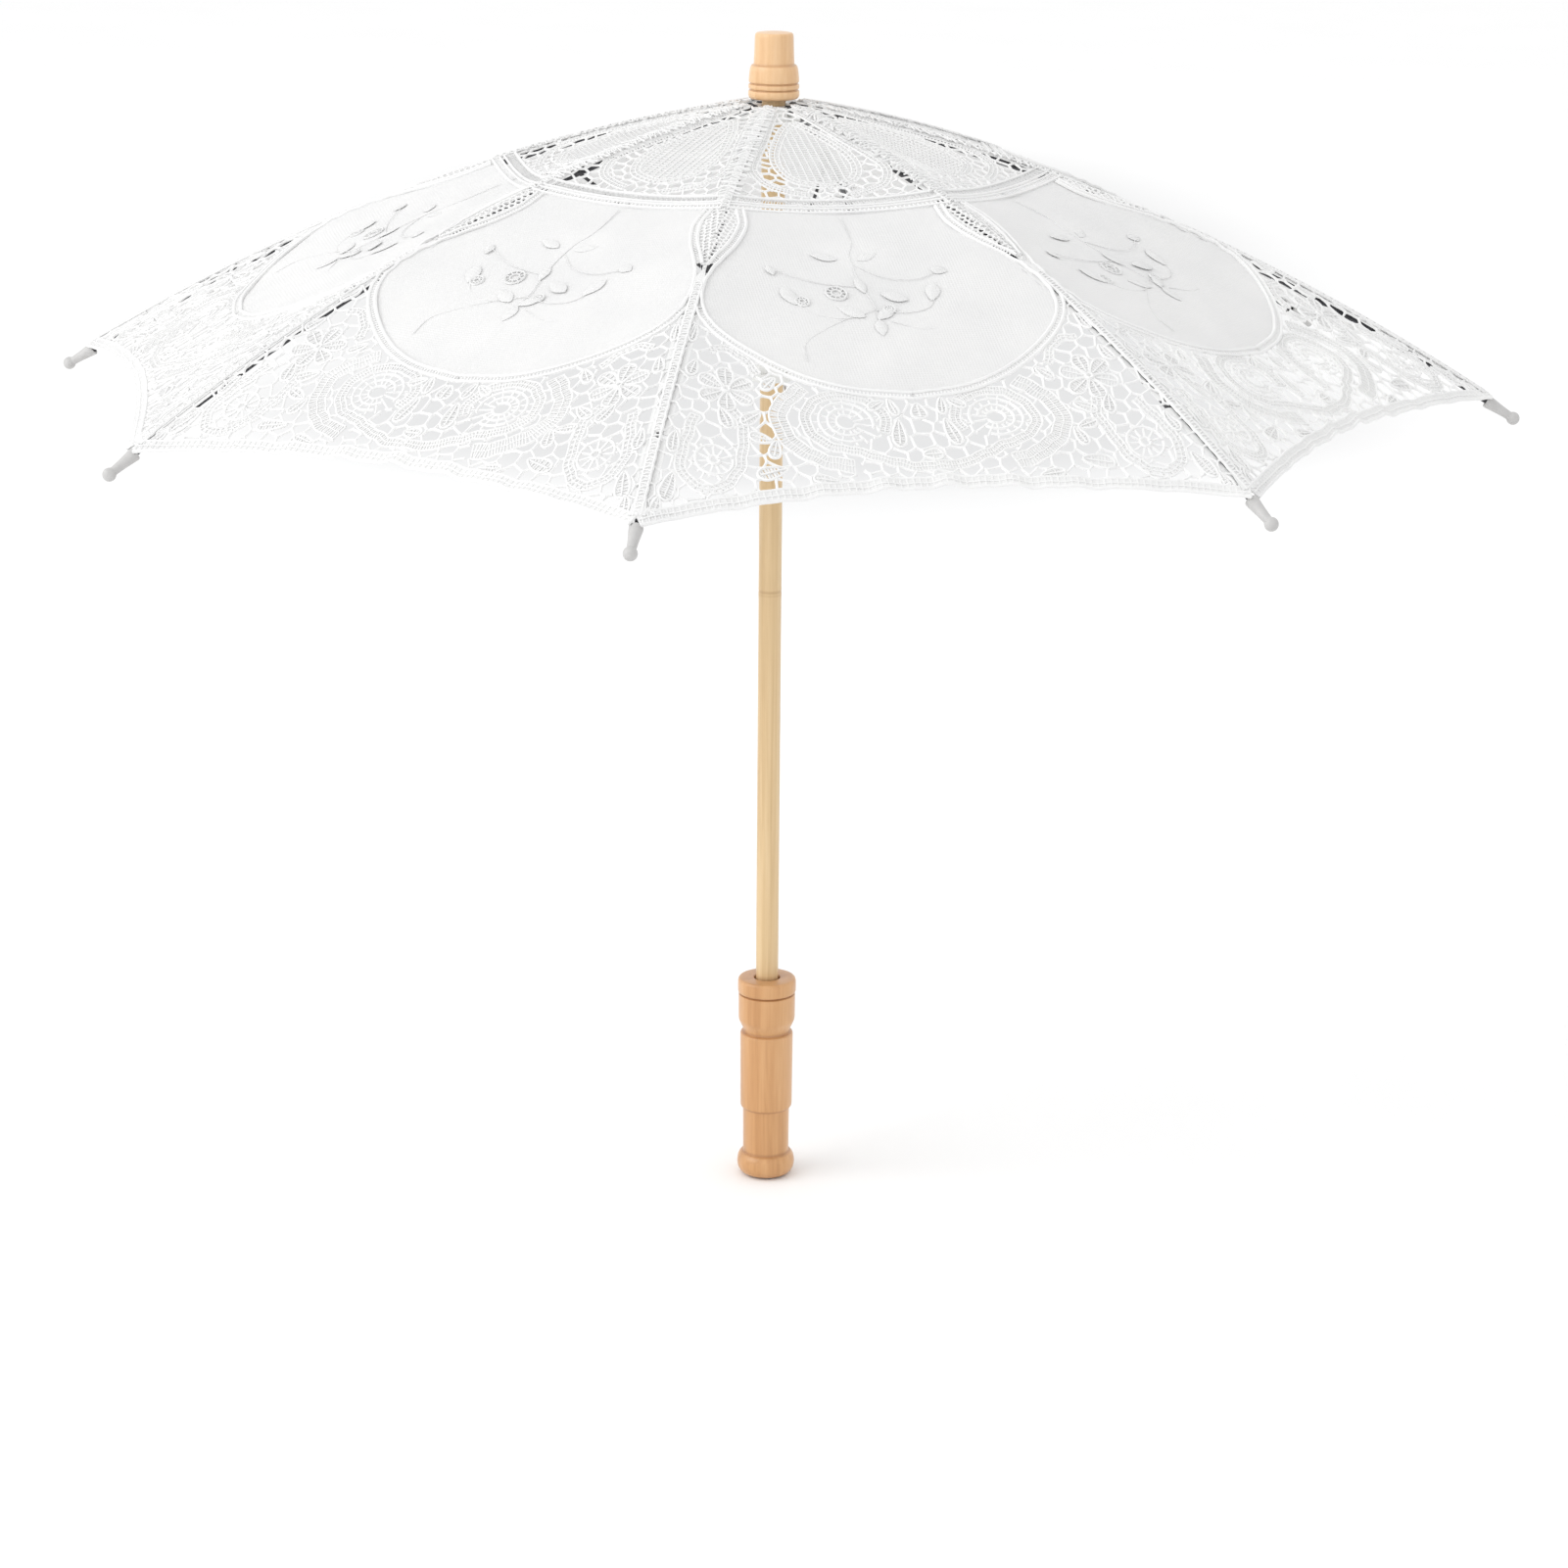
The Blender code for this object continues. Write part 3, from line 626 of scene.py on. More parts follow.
# wheels with spokes
wheels = []
for s in (-1, 1):
    cx, cy, r = s * 0.0690, 0.2145, 0.0058
    draw.line(arc(cx, cy, r, 0, 352, None, 0.0009), 0.0005, 0.0002, 5)
    draw.line(arc(cx, cy, 0.0016, 0, 350, None, 0.0006), 0.0006, 0.0003, 5)
    for i in range(11):
        a = i * 2 * math.pi / 11 + 0.3
        draw.line([(cx + 0.0012 * math.cos(a), cy + 0.0012 * math.sin(a)), (cx + (r + 0.0012) * math.cos(a), cy + (r + 0.0012) * math.sin(a))], 0.00042, 0.0, 4)
    tapes.append((np.array([[cx, cy]] * 2), r - 0.0002))
    tapes.append((np.array([[s * 0.0242, 0.2010]] * 2), 0.0100))

# Brides: an irregular net over the rest of the band
in_petal = lambda p: inside(OUTLINE, p)
free = off_bands(tapes)


def band_ok(p):
    u_ok = np.abs(p[:, 0]) < p[:, 1] * TAN - SEAM + 0.0003
    ok = u_ok & (p[:, 1] > 0.150) & ~in_petal(p) & (p[:, 1] < hem_y(p[:, 0]) - 0.0034) & free(p)
    for poly in solids:
        ok &= ~inside(poly, p)
    return ok


for a, b in cells(0.0062, -0.105, 0.105, 0.150, 0.245, 0.27, 3.0):
    p = even(np.array([a, (a + b) / 2, b]), 0.0004)
    if len(p) < 3:
        continue
    for run in kept(p, band_ok):
        if np.linalg.norm(run[-1] - run[0]) > 0.0008:
            q = run[[0, len(run) // 3, 2 * len(run) // 3, -1]]
            draw.line(q, [0.00060, 0.00046, 0.00046, 0.00060], 0.0, 5)

# Leaf inserts beside each seam: a fine needle net
def leaf_ok(p):
    return (np.abs(p[:, 0]) < p[:, 1] * TAN) & (p[:, 1] > 0.0944) & (p[:, 1] < 0.150) & ~in_petal(p)


for a, b in cells(0.00225, -0.064, 0.064, 0.093, 0.152, 0.12, 5.0):
    if min(abs(a[0]), abs(b[0])) < 0.028:
        continue
    p = even(np.array([a, b]), 0.0003)
    if len(p) < 3:
        continue
    for run in kept(p, leaf_ok):
        draw.line(run[[0, -1]], 0.00042, 0.0, 4)

# Crown: leaf-shaped tape loops, seam tapes and a net
crown_bands = [BRAID]


def crown_tape(points, width, kind, closed=False):
    p = curve(points, 0.0012, closed)
    for run in kept(p, lambda q: (np.abs(q[:, 0]) < q[:, 1] * TAN - width / 2 + 0.0002)):
        draw.tape(run, width, kind, 0.0012, 0.00032)
        crown_bands.append((run, width / 2))


for s in (-1, 1):
    m = lambda pts: [(s * x, y) for x, y in pts]
    crown_tape(m([(0.0, 0.0270), (0.0048, 0.0345), (0.0092, 0.0445), (0.0128, 0.0550), (0.0135, 0.0650), (0.0100, 0.0730), (0.0, 0.0770)]), 0.0040, "zigzag")
    crown_tape(m([(0.0042, 0.0180), (0.0085, 0.0290), (0.0140, 0.0440), (0.0200, 0.0580), (0.0232, 0.0680), (0.0205, 0.0770), (0.0140, 0.0810), (0.0075, 0.0830)]), 0.0036, "ladder")
crown_loop = np.vstack([curve([(0.0, 0.0270), (0.0048, 0.0345), (0.0092, 0.0445), (0.0128, 0.0550), (0.0135, 0.0650), (0.0100, 0.0730), (0.0, 0.0770)])])
crown_loop = np.vstack([crown_loop, (crown_loop * [-1, 1])[::-1]])
off_crown = off_bands(crown_bands)
for y in np.arange(0.0335, 0.0750, 0.0016):
    p = even(np.array([(-0.03, y), (0.03, y)]), 0.0004)
    for run in kept(p, lambda q: inside(crown_loop, q) & off_crown(q)):
        draw.line(run[np.linspace(0, len(run) - 1, 4).astype(int)], 0.00036, 0.0, 4, 1.0, 1)
for x in np.arange(-0.0120, 0.0121, 0.0024):
    p = even(np.array([(x, 0.027), (x * 1.08, 0.077)]), 0.0004)
    for run in kept(p, lambda q: inside(crown_loop, q) & off_crown(q)):
        draw.line(run[np.linspace(0, len(run) - 1, 12).astype(int)], 0.00030, 0.0002, 4, 1.0, 1)


def crown_ok(p):
    return (np.abs(p[:, 0]) < p[:, 1] * TAN - SEAM + 0.0003) & (p[:, 1] > 0.0120) & (p[:, 1] < 0.0872) & ~inside(crown_loop, p) & off_crown(p)


for a, b in cells(0.0048, -0.040, 0.040, 0.008, 0.090, 0.30, 6.0):
    p = even(np.array([a, b]), 0.0004)
    if len(p) < 3:
        continue
    for run in kept(p, crown_ok):
        if len(run) > 2:
            draw.line(run[[0, len(run) // 2, -1]], 0.00044, -0.0001, 4)

# Hem tape: corded edges, crossing threads and a woven ground
hem_x = np.linspace(-0.105, 0.105, 360)
hem_all = np.stack([hem_x, hem_y(hem_x)], 1)
hem_all = hem_all[np.abs(hem_all[:, 0]) < hem_all[:, 1] * TAN - 0.0019]
HEM_W = 0.0040
hem_out = even(hem_all, 0.0012)
hem_n = sideways(hem_out)
if hem_n[len(hem_n) // 2, 1] > 0:
    hem_n = -hem_n
hem_in = hem_out + hem_n * HEM_W
draw.line(hem_out + hem_n * 0.0005, 0.00062, 0.0002, 6)
draw.line(hem_in, 0.00058, 0.0003, 6)
hem_mid = even(hem_out + hem_n * HEM_W / 2, 0.00104)
mid_n = sideways(hem_mid)
for i in range(len(hem_mid)):
    lean = 0.22 * (-1) ** i
    wide = HEM_W / 2 - 0.0003
    a = hem_mid[i] - mid_n[i] * wide
    b = hem_mid[min(i + 1, len(hem_mid) - 1)] * lean + hem_mid[i] * (1 - lean) + mid_n[i] * wide
    draw.line([a, (a + b) / 2, b], 0.00047, 0.0003 if i % 2 else 0.0001, 5, 1.0, 1)
draw.line(hem_mid, 0.00034, 0.0005, 4)


# ------------------------------------------------------------------ halves of a gore, split on the mid-gore line
def half_lines(p, radius, side):
    """The runs of a line on one side of the mid-gore line, ending exactly on it."""
    p = np.asarray(p, float)
    r = np.broadcast_to(np.asarray(radius, float), (len(p),))
    x = p[:, 0] * side
    runs, now, rad = [], [], []
    for i in range(len(p)):
        if x[i] >= 0:
            if not now and i > 0 and x[i - 1] < 0:
                t = x[i - 1] / (x[i - 1] - x[i])
                now.append(p[i - 1] + (p[i] - p[i - 1]) * t)
                rad.append(r[i])
            now.append(p[i])
            rad.append(r[i])
        elif now:
            t = x[i - 1] / (x[i - 1] - x[i])
            now.append(p[i - 1] + (p[i] - p[i - 1]) * t)
            rad.append(r[i])
            runs.append((np.array(now), np.array(rad)))
            now, rad = [], []
    if now:
        runs.append((np.array(now), np.array(rad)))
    return [(q, s) for q, s in runs if len(q) >= 2 and np.linalg.norm(q - q[0], axis=1).max() > 2e-4]


def lace_half(side):
    w = Work()
    for p, radius, lift, sides, flat, slot in draw.threads:
        for q, r in half_lines(p, radius, side):
            keep = np.concatenate([[True], np.linalg.norm(np.diff(q, axis=0), axis=1) > 1e-6])
            q, r = q[keep], r[keep]
            if len(q) < 2:
                continue
            w.thread(place(q[:, 0], q[:, 1], lift - 0.0004), normal_at(q[:, 1]), r, sides, flat, slot)
    return w


def strip_half(side):
    """The hem's woven ground: a thin closed band under its threads."""
    w = Work()
    x = hem_out[:, 0] * side
    ok = x >= -1e-9
    a, b = hem_out[ok] + hem_n[ok] * 0.0004, (hem_out + hem_n * HEM_W)[ok]
    if side < 0:
        a, b = a[::-1], b[::-1]
    a = np.vstack([[0.0, hem_y(np.array([0.0]))[0] - 0.0004], a])
    b = np.vstack([[0.0, hem_y(np.array([0.0]))[0] - HEM_W], b])
    n = len(a)
    rings = []
    for q, lift in ((a, 0.00012), (b, 0.00012), (b, -0.0005), (a, -0.0005)):
        rings.append(place(q[:, 0], q[:, 1], lift))
    v = np.stack(rings, 1).reshape(-1, 3)
    faces = []
    for i in range(n - 1):
        for j in range(4):
            k = (j + 1) % 4
            faces.append((i * 4 + j, i * 4 + k, (i + 1) * 4 + k, (i + 1) * 4 + j))
    faces += [(3, 2, 1, 0), tuple((n - 1) * 4 + j for j in range(4))]
    w.add(v, faces, 1)
    return w


def petal_half(side, rows=64, cols=30):
    """The linen petal: a thin smooth cloth patch with thickness."""
    line = PETAL_RIGHT
    y = 0.0946 + (0.1895 - 0.0946) * np.sin(np.linspace(0, 1, rows) * math.pi / 2) ** 1.0
    order = np.argsort(line[:, 1])
    xb = np.interp(y, line[order, 1], line[order, 0]) + 0.0002
    xb[-1] = max(xb[-1], 0.0006)
    j = np.linspace(0, 1, cols)
    X = side * xb[:, None] * j[None, :]
    Y = np.repeat(y[:, None], cols, 1)
    soft = 0.00035 * np.sin(Y * 120 + X * 60) * np.sin(X * 95 + 0.8)
    top = place(X, Y, soft - 0.00025)
    low = place(X, Y, soft - 0.00060)
    v = np.concatenate([top.reshape(-1, 3), low.reshape(-1, 3)])
    n = rows * cols
    faces = []
    for a in range(rows - 1):
        for b in range(cols - 1):
            q = (a * cols + b, (a + 1) * cols + b, (a + 1) * cols + b + 1, a * cols + b + 1)
            faces.append(q)
            faces.append(tuple(i + n for i in q[::-1]))
    rim = (
        [b for b in range(cols)] + [a * cols + cols - 1 for a in range(1, rows)]
        + [(rows - 1) * cols + b for b in range(cols - 2, -1, -1)] + [a * cols for a in range(rows - 2, 0, -1)]
    )
    for a, b in zip(rim, rim[1:] + rim[:1]):
        faces.append((a, b, b + n, a + n))
    w = Work()
    w.add(v, faces, 0)
    return w


# Embroidery on the linen: leaves, buds, rings and stems. (x, y, length, width, angle)
LEAVES = [
    (-0.0120, 0.1212, 0.0090, 0.0042, 200), (0.0025, 0.1216, 0.0082, 0.0038, -25),
    (-0.0315, 0.1290, 0.0052, 0.0034, 80), (0.0245, 0.1310, 0.0056, 0.0044, 20),
    (-0.0285, 0.1425, 0.0096, 0.0052, 75), (0.0195, 0.1420, 0.0098, 0.0050, 108),
    (-0.0035, 0.1372, 0.0082, 0.0036, 82), (0.0062, 0.1435, 0.0092, 0.0050, 205),
    (-0.0098, 0.1508, 0.0096, 0.0050, 212), (0.0010, 0.1522, 0.0082, 0.0042, 140),
    (-0.0020, 0.1590, 0.0080, 0.0042, 95),
]
RINGS = [(-0.0125, 0.1412, 0.0034), (0.0030, 0.1500, 0.0018), (-0.0248, 0.1455, 0.0022)]
STEMS = [
    [(-0.0005, 0.0975), (-0.0002, 0.1060), (-0.0006, 0.1130), (-0.0030, 0.1200)],
    [(-0.0030, 0.1200), (-0.0036, 0.1290), (-0.0030, 0.1380), (-0.0015, 0.1480), (-0.0018, 0.1560)],
    [(-0.0030, 0.1380), (-0.0110, 0.1370), (-0.0200, 0.1345), (-0.0300, 0.1290)],
    [(-0.0030, 0.1260), (0.0050, 0.1330), (0.0150, 0.1350), (0.0240, 0.1318)],
    [(-0.0020, 0.1500), (0.0080, 0.1520), (0.0160, 0.1500), (0.0200, 0.1440)],
    [(-0.0020, 0.1500), (-0.0120, 0.1540), (-0.0220, 0.1520), (-0.0280, 0.1450)],
    [(-0.0100, 0.1530), (-0.0200, 0.1590), (-0.0285, 0.1660), (-0.0300, 0.1740)],
    [(0.0020, 0.1560), (0.0100, 0.1600), (0.0160, 0.1605)],
]


def embroidery_half(side):
    w = Work()
    for x, y, long, wide, angle in LEAVES:
        if x * side < 0:
            continue
        rows, cols = 18, 8
        a = math.radians(angle)
        d, e = np.array([math.cos(a), math.sin(a)]), np.array([-math.sin(a), math.cos(a)])
        v = []
        for i in range(rows + 1):
            f = i / rows
            half = wide / 2 * (math.sin(math.pi * f) ** 0.8) * (1.12 - 0.35 * f) + 0.00005
            half *= 1 + 0.05 * (-1) ** i
            for k in range(cols):
                t = 2 * math.pi * k / cols
                q = np.array([x, y]) + d * (f - 0.5) * long + e * half * math.cos(t)
                rib = 0.00006 * (-1) ** i
                v.append((q[0], q[1], 0.00030 * (0.25 + 0.75 * math.sin(math.pi * f)) * math.sin(t) * (1 - 0.25 * math.cos(t) ** 8) + (rib if math.sin(t) > 0 else 0)))
        v = np.array(v)
        pts = place(v[:, 0], v[:, 1], v[:, 2] + 0.00005)
        faces = []
        for i in range(rows):
            for k in range(cols):
                m = (k + 1) % cols
                faces.append((i * cols + k, i * cols + m, (i + 1) * cols + m, (i + 1) * cols + k))
        faces += [tuple(range(cols))[::-1], tuple(rows * cols + k for k in range(cols))]
        w.add(pts, faces, 1)
    for x, y, r in RINGS:
        if x * side < 0:
            continue
        p = arc(x, y, r, 0, 345, None, 0.0006)
        w.thread(place(p[:, 0], p[:, 1], 0.0001), normal_at(p[:, 1]), 0.00042, 5, 1.0, 1, True)
        p = arc(x, y, r * 0.5, 0, 330, None, 0.0005)
        w.thread(place(p[:, 0], p[:, 1], 0.0001), normal_at(p[:, 1]), 0.00036, 5, 1.0, 1, True)
        for i in range(10):
            a = i * math.pi / 5
            q = np.array([(x + r * 0.5 * math.cos(a), y + r * 0.5 * math.sin(a)), (x + r * 1.15 * math.cos(a), y + r * 1.15 * math.sin(a))])
            w.thread(place(q[:, 0], q[:, 1], 0.00012), normal_at(q[:, 1]), 0.0003, 4, 1.0, 1)
    for points in STEMS:
        p = curve(points, 0.0010)
        for q, r in half_lines(p, 0.00014, side):
            wob = 0.00006 * np.where(np.arange(len(q)) % 2 == 0, 1, -1)
            w.thread(place(q[:, 0] + wob, q[:, 1], 0.00002), normal_at(q[:, 1]), r, 4, 1.0, 1)
    return w


def seam_work(variant):
    """The seam over one rib: cords and stitches over a narrow tape, open here and there (along +X)."""
    w = Work()

    def over(r, side, lift):
        r = np.asarray(r, float)
        slope = math.tan(CROWN_SLOPE) + 2 * CROWN_CURVE * (r - PIVOT_R)
        z = crown_height(r) - 0.35 * np.abs(side) * slope
        k = 1 / np.sqrt(1 + slope * slope)
        return np.stack([r + lift * slope * k, np.broadcast_to(side, r.shape) + 0 * r, z + lift * k], -1)

    for r in (np.linspace(0.0120, 0.1030, 70), np.linspace(0.1490, 0.2532, 94)):
        for s in (-1, 1):
            wave = 0.0001 * np.sin(r * 1500 + s)
            inner = r[-1] < 0.12
            w.thread(over(r, s * (0.0012 + wave), -0.0001 if inner else 0.00005), normal_at(r * COS), 0.00036 if inner else 0.00050, 5, 1.0, 0)
    gaps, at, i = [], 0.1630, 0
    while at < 0.2450:
        length = 0.0022 + 0.0026 * noise(i, variant)
        gaps.append((at, at + length))
        at += length + 0.0075 + 0.0080 * noise(variant + 3.0, i)
        i += 1
    gaps = [g for j, g in enumerate(gaps) if j in ((0, 1, 5), (0, 4, 6), (1, 3, 6))[variant]]
    starts = [0.0120, *[b for _, b in gaps]]
    ends = [*[a for a, _ in gaps], 0.2532]
    for a, b in zip(starts, ends):
        q = np.linspace(a, b, max(4, int((b - a) / 0.002)))
        leaf = np.clip((q - 0.098) / 0.004, 0, 1) * np.clip((0.145 - q) / 0.004, 0, 1)
        wide = 0.00150 - 0.0008 * leaf - 0.0007 * (q < 0.098) + 0.0014 * np.clip((q - 0.2440) / 0.008, 0, 1)
        w.thread(over(q, 0.0, -0.00015 - 0.0008 * leaf), normal_at(q * COS), wide, 8, 0.14, 1)
    # the folded seam allowance under the net, left open where the lace is open over the rib
    slits = [(0.030 + 0.004 * variant, 0.040 + 0.003 * variant), (0.074 - 0.005 * variant, 0.088 - 0.003 * variant)]
    edges = [0.0130, *[v for slit in slits for v in slit], 0.0985]
    runs = list(zip(edges[::2], edges[1::2])) + [(max(a, 0.1420), b) for a, b in zip(starts, ends) if b > 0.15]
    for a, b in runs:
        q = np.linspace(a, b, max(4, int((b - a) / 0.002)))
        for s in (-1, 1):
            out = np.clip((0.2535 - q) / 0.010, 0.2, 1)
            w.thread(over(q, s * (0.0010 + 0.0013 * out), -0.0008), normal_at(q * COS), 0.0004 + 0.0010 * out, 6, 0.12, 1)
    # bars of the crown's net carried across the seam
    for i, c in enumerate(np.arange(0.0170, 0.0930, 0.0021)):
        reach = min(0.0038, c * 0.16)
        lean, turn = 0.0030 * (noise(i, variant + 7.0) - 0.5), 0.0016 * (noise(i, variant + 9.0) - 0.5)
        q = over(np.array([c - lean, c + turn, c + lean * 0.4]), np.array([-reach, 0.0, reach]), 0.0003)
        w.thread(q, normal_at(np.full(3, c * COS)), 0.00034, 5, 1.0, 0)
    for i, c in enumerate(np.arange(0.0135, 0.2525, 0.00128)):
        open_here = any(a < c < b for a, b in gaps)
        if (open_here and i % 3 == 0) or 0.1030 < c < 0.1490:
            continue
        lean = 0.0004 * (-1) ** i
        q = over(np.array([c - lean, c, c + lean]), 0.0, 0.0)
        q[:, 1] = (-0.0015, 0.0, 0.0015)
        q[:, 2] += (-0.0001, 0.00034, -0.0001)
        w.thread(q, normal_at(np.full(3, c * COS)), 0.00036, 4, 1.0, 0)
    return w


def joined(side):
    """A half gore's whole cloth: linen, lace, hem and embroidery in one mesh of closed pieces."""
    whole = Work()
    for work, shift in ((petal_half(side), {0: 0}), (lace_half(side), {0: 1, 1: 2}), (strip_half(side), {0: 2, 1: 2}), (embroidery_half(side), {0: 1, 1: 3})):
        whole.verts += work.verts
        whole.faces += [tuple(i + whole.count for i in f) for f in work.faces]
        whole.slots += [shift[k] for k in work.slots]
        whole.count += work.count
    return whole


collection = bpy.context.scene.collection


def add(name, data, matrix=Matrix.Identity(4)):
    o = bpy.data.objects.new(name, data)
    collection.objects.link(o)
    o.matrix_world = matrix
    return o


seams = []
for variant in range(3):
    made = seam_work(variant).mesh(f"seam_stitches_{variant}", [THREAD, TAPE], smooth=50)
    outward(made)
    seams.append(made)
for n in range(1, 9):
    o = add(f"seam_{n}", seams[(n * 2) % 3], Matrix.Rotation(math.radians(45 * (n - 1)), 4, "Z"))
    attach(o, f"rib_arm_{n}")

# y values along half a gore, from the hub to the hem; nothing reads them
yy = np.linspace(IN_R, 0.2575 * COS, 400)
half_mesh = {}
for side in (1, -1):
    made = joined(side).mesh(f"half_gore_{'right' if side > 0 else 'left'}", [LINEN, THREAD, TAPE, SATIN], smooth=50)
    outward(made)
    half_mesh[side] = made
    print("half gore", side, len(made.polygons), "faces")

for k in range(8):
    middle = math.radians(22.5 + 45 * k)
    for side, word in ((1, "right"), (-1, "left")):
        rib = (k + 1) % 8 + 1 if side > 0 else k + 1
        o = add(f"lace_gore_{k + 1}_{word}", half_mesh[side], Matrix.Rotation(middle, 4, "Z"))
        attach(o, f"rib_arm_{rib}")
        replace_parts(o, f"canopy_panel_{rib}")
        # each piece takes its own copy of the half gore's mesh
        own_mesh(o)

# ------------------------------------------------------------------ turned wood
HANDLE = (
    (0.0, 76.4), (4.75, 76.4), (4.85, 78.1), (5.1, 78.45), (9.7, 78.5), (10.35, 78.35), (10.75, 77.9), (10.92, 77.2), (10.95, 75.2), (10.92, 73.5), (10.8, 73.05),
    (10.15, 72.85), (10.0, 72.6), (10.15, 72.35), (10.6, 72.1), (10.68, 71.6), (10.66, 66.5), (10.62, 62.7), (10.5, 61.9), (10.1, 60.9), (9.5, 59.6), (9.05, 58.6),
    (8.82, 58.0), (8.75, 57.5), (8.8, 57.05), (9.35, 56.9), (9.75, 56.7), (9.92, 56.2), (9.95, 55.2), (9.92, 49.0), (9.85, 40.0), (9.8, 31.0), (9.76, 28.2), (9.68, 27.4),
    (9.45, 26.95), (8.85, 26.75), (8.78, 26.0), (8.72, 20.0), (8.66, 12.0), (8.64, 9.2), (8.8, 8.75), (9.5, 8.45), (10.1, 7.75), (10.55, 6.7), (10.8, 5.5), (10.86, 4.4),
    (10.76, 3.3), (10.45, 2.2), (9.95, 1.25), (9.2, 0.5), (8.4, 0.12), (7.8, 0.0), (0.0, 0.0),
)
FERRULE = (
    (0.0, 429.9), (5.4, 430.0), (6.3, 429.85), (6.7, 429.4), (6.85, 428.5), (6.9, 426.5), (6.98, 424.0), (7.08, 421.5), (7.16, 419.6), (7.2, 419.1), (7.35, 418.9), (7.9, 418.7),
    (8.3, 418.1), (8.55, 417.1), (8.7, 415.8), (8.84, 414.4), (8.92, 413.1), (8.8, 412.75), (8.45, 412.55), (8.38, 412.4), (8.45, 412.2), (8.85, 412.0), (8.96, 411.7),
    (8.98, 410.9), (8.86, 410.55), (8.5, 410.36), (8.42, 410.2), (8.5, 410.0), (8.9, 409.8), (9.02, 409.5), (9.06, 408.2), (8.8, 407.5), (8.3, 407.0), (0.0, 406.95),
)



def fine(profile):
    """Adds a point halfway between neighbouring points of a turned profile; the shape stays the same."""
    out = [profile[0]]
    for (a, b), (c, d) in zip(profile[1:-2], profile[2:-1]):
        out += [(a, b), (a * 0.5 + c * 0.5, b * 0.5 + d * 0.5)]
    out += [profile[-2], profile[-1]]
    return out


def turned(name, profile, sides, material):
    v, faces = [], []
    rings = [p for p in profile if p[0] > 0]
    for r, z in rings:
        for k in range(sides):
            a = 2 * math.pi * k / sides
            v.append((r / 1000 * math.cos(a), r / 1000 * math.sin(a), z / 1000))
    for i in range(len(rings) - 1):
        for k in range(sides):
            m = (k + 1) % sides
            faces.append((i * sides + k, (i + 1) * sides + k, (i + 1) * sides + m, i * sides + m))
    top, low = len(v), len(v) + 1
    v += [(0, 0, profile[0][1] / 1000), (0, 0, profile[-1][1] / 1000)]
    for k in range(sides):
        m = (k + 1) % sides
        faces.append((top, k, m))
        faces.append((low, (len(rings) - 1) * sides + m, (len(rings) - 1) * sides + k))
    made = bpy.data.meshes.new(name)
    made.from_pydata(v, [], faces)
    made.materials.append(material)
    made.polygons.foreach_set("use_smooth", [True] * len(faces))
    made.update()
    outward(made)
    made.set_sharp_from_angle(angle=math.radians(38))
    return made


handle = add("turned_handle", turned("turned_handle", fine(HANDLE), 96, GRIP))
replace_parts(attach(handle, "stick"), "handle")
ferrule = add("turned_ferrule", turned("turned_ferrule", fine(FERRULE), 96, PEACH))
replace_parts(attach(ferrule, "stick"), "ferrule")
stick_profile = [(0.0, 417.0), (4.2, 416.8)]
for z in range(410, 80, -5):
    swell = 0.10 * math.exp(-((z - 228.0) / 1.6) ** 2)
    stick_profile.append((4.2 + swell + 0.02 * noise(z), float(z)))
    if z in (230,):
        stick_profile += [(4.28, 228.9), (4.14, 228.2), (4.28, 227.4)]
stick_profile += [(4.2, 79.2), (4.2, 19.0), (0.0, 18.9)]
stick = add("bamboo_stick", turned("bamboo_stick", stick_profile, 64, STICK))
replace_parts(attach(stick, "stick"), "shaft")

# ------------------------------------------------------------------ rib tips: a flared socket, a neck and a ball
TIP_AT, TIP_LONG, BALL = 0.2540, 0.01124, 0.0023
TIP = [
    (0.0, -0.9), (1.25, -0.9), (1.35, -0.15), (1.60, -0.02), (2.02, 0.0), (2.20, -0.08), (2.26, -0.30), (2.26, -0.9), (2.18, -1.7), (2.06, -2.8),
    (1.93, -4.0), (1.80, -5.2), (1.70, -6.4), (1.62, -7.6), (1.55, -8.7), (1.54, -9.3),
]
TIP += [(2.3 * math.sin(math.radians(d)), -11.24 + 2.3 * math.cos(math.radians(d))) for d in range(44, 176, 11)] + [(0.0, -13.54)]
tip_slope = math.tan(CROWN_SLOPE) + 2 * CROWN_CURVE * (TIP_AT - PIVOT_R)
tip_mesh = turned("rib_tip_turned", TIP, 40, GREY)
tip_dir = Vector((1, 0, -tip_slope)).normalized()
tip_mesh.transform(
    Matrix.Translation((TIP_AT, 0, crown_height(TIP_AT) - 0.0026 * math.hypot(1, tip_slope)))
    @ tip_dir.to_track_quat("-Z", "Y").to_matrix().to_4x4()
)
for n in range(1, 9):
    o = add(f"turned_tip_{n}", tip_mesh, Matrix.Rotation(math.radians(45 * (n - 1)), 4, "Z"))
    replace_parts(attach(o, f"rib_arm_{n}"), f"rib_tip_{n}")

# ------------------------------------------------------------------ frame parts keep their CAD shape and take finer materials
for name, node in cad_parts.items():
    if name.startswith(("rib_tip",)):
        look = GREY
    elif name.startswith(("runner_wire", "notch_wire", "top_catch", "joint_pin", "stop_pin")):
        look = ZINC
    elif name.startswith(("rib_", "stretcher", "joint_clip")):
        look = STEEL
    elif name.startswith(("runner", "top_notch")):
        look = WHITE
    else:
        continue
    node.data.materials.clear()
    node.data.materials.append(look)

# ------------------------------------------------------------------ studio
floor_mesh = bpy.data.meshes.new("floor")
floor_mesh.from_pydata([(-30, -30, -0.0005), (30, -30, -0.0005), (30, 30, -0.0005), (-30, 30, -0.0005)], [], [(0, 1, 2, 3)])
m, t, s = nodes_of("pale_floor")
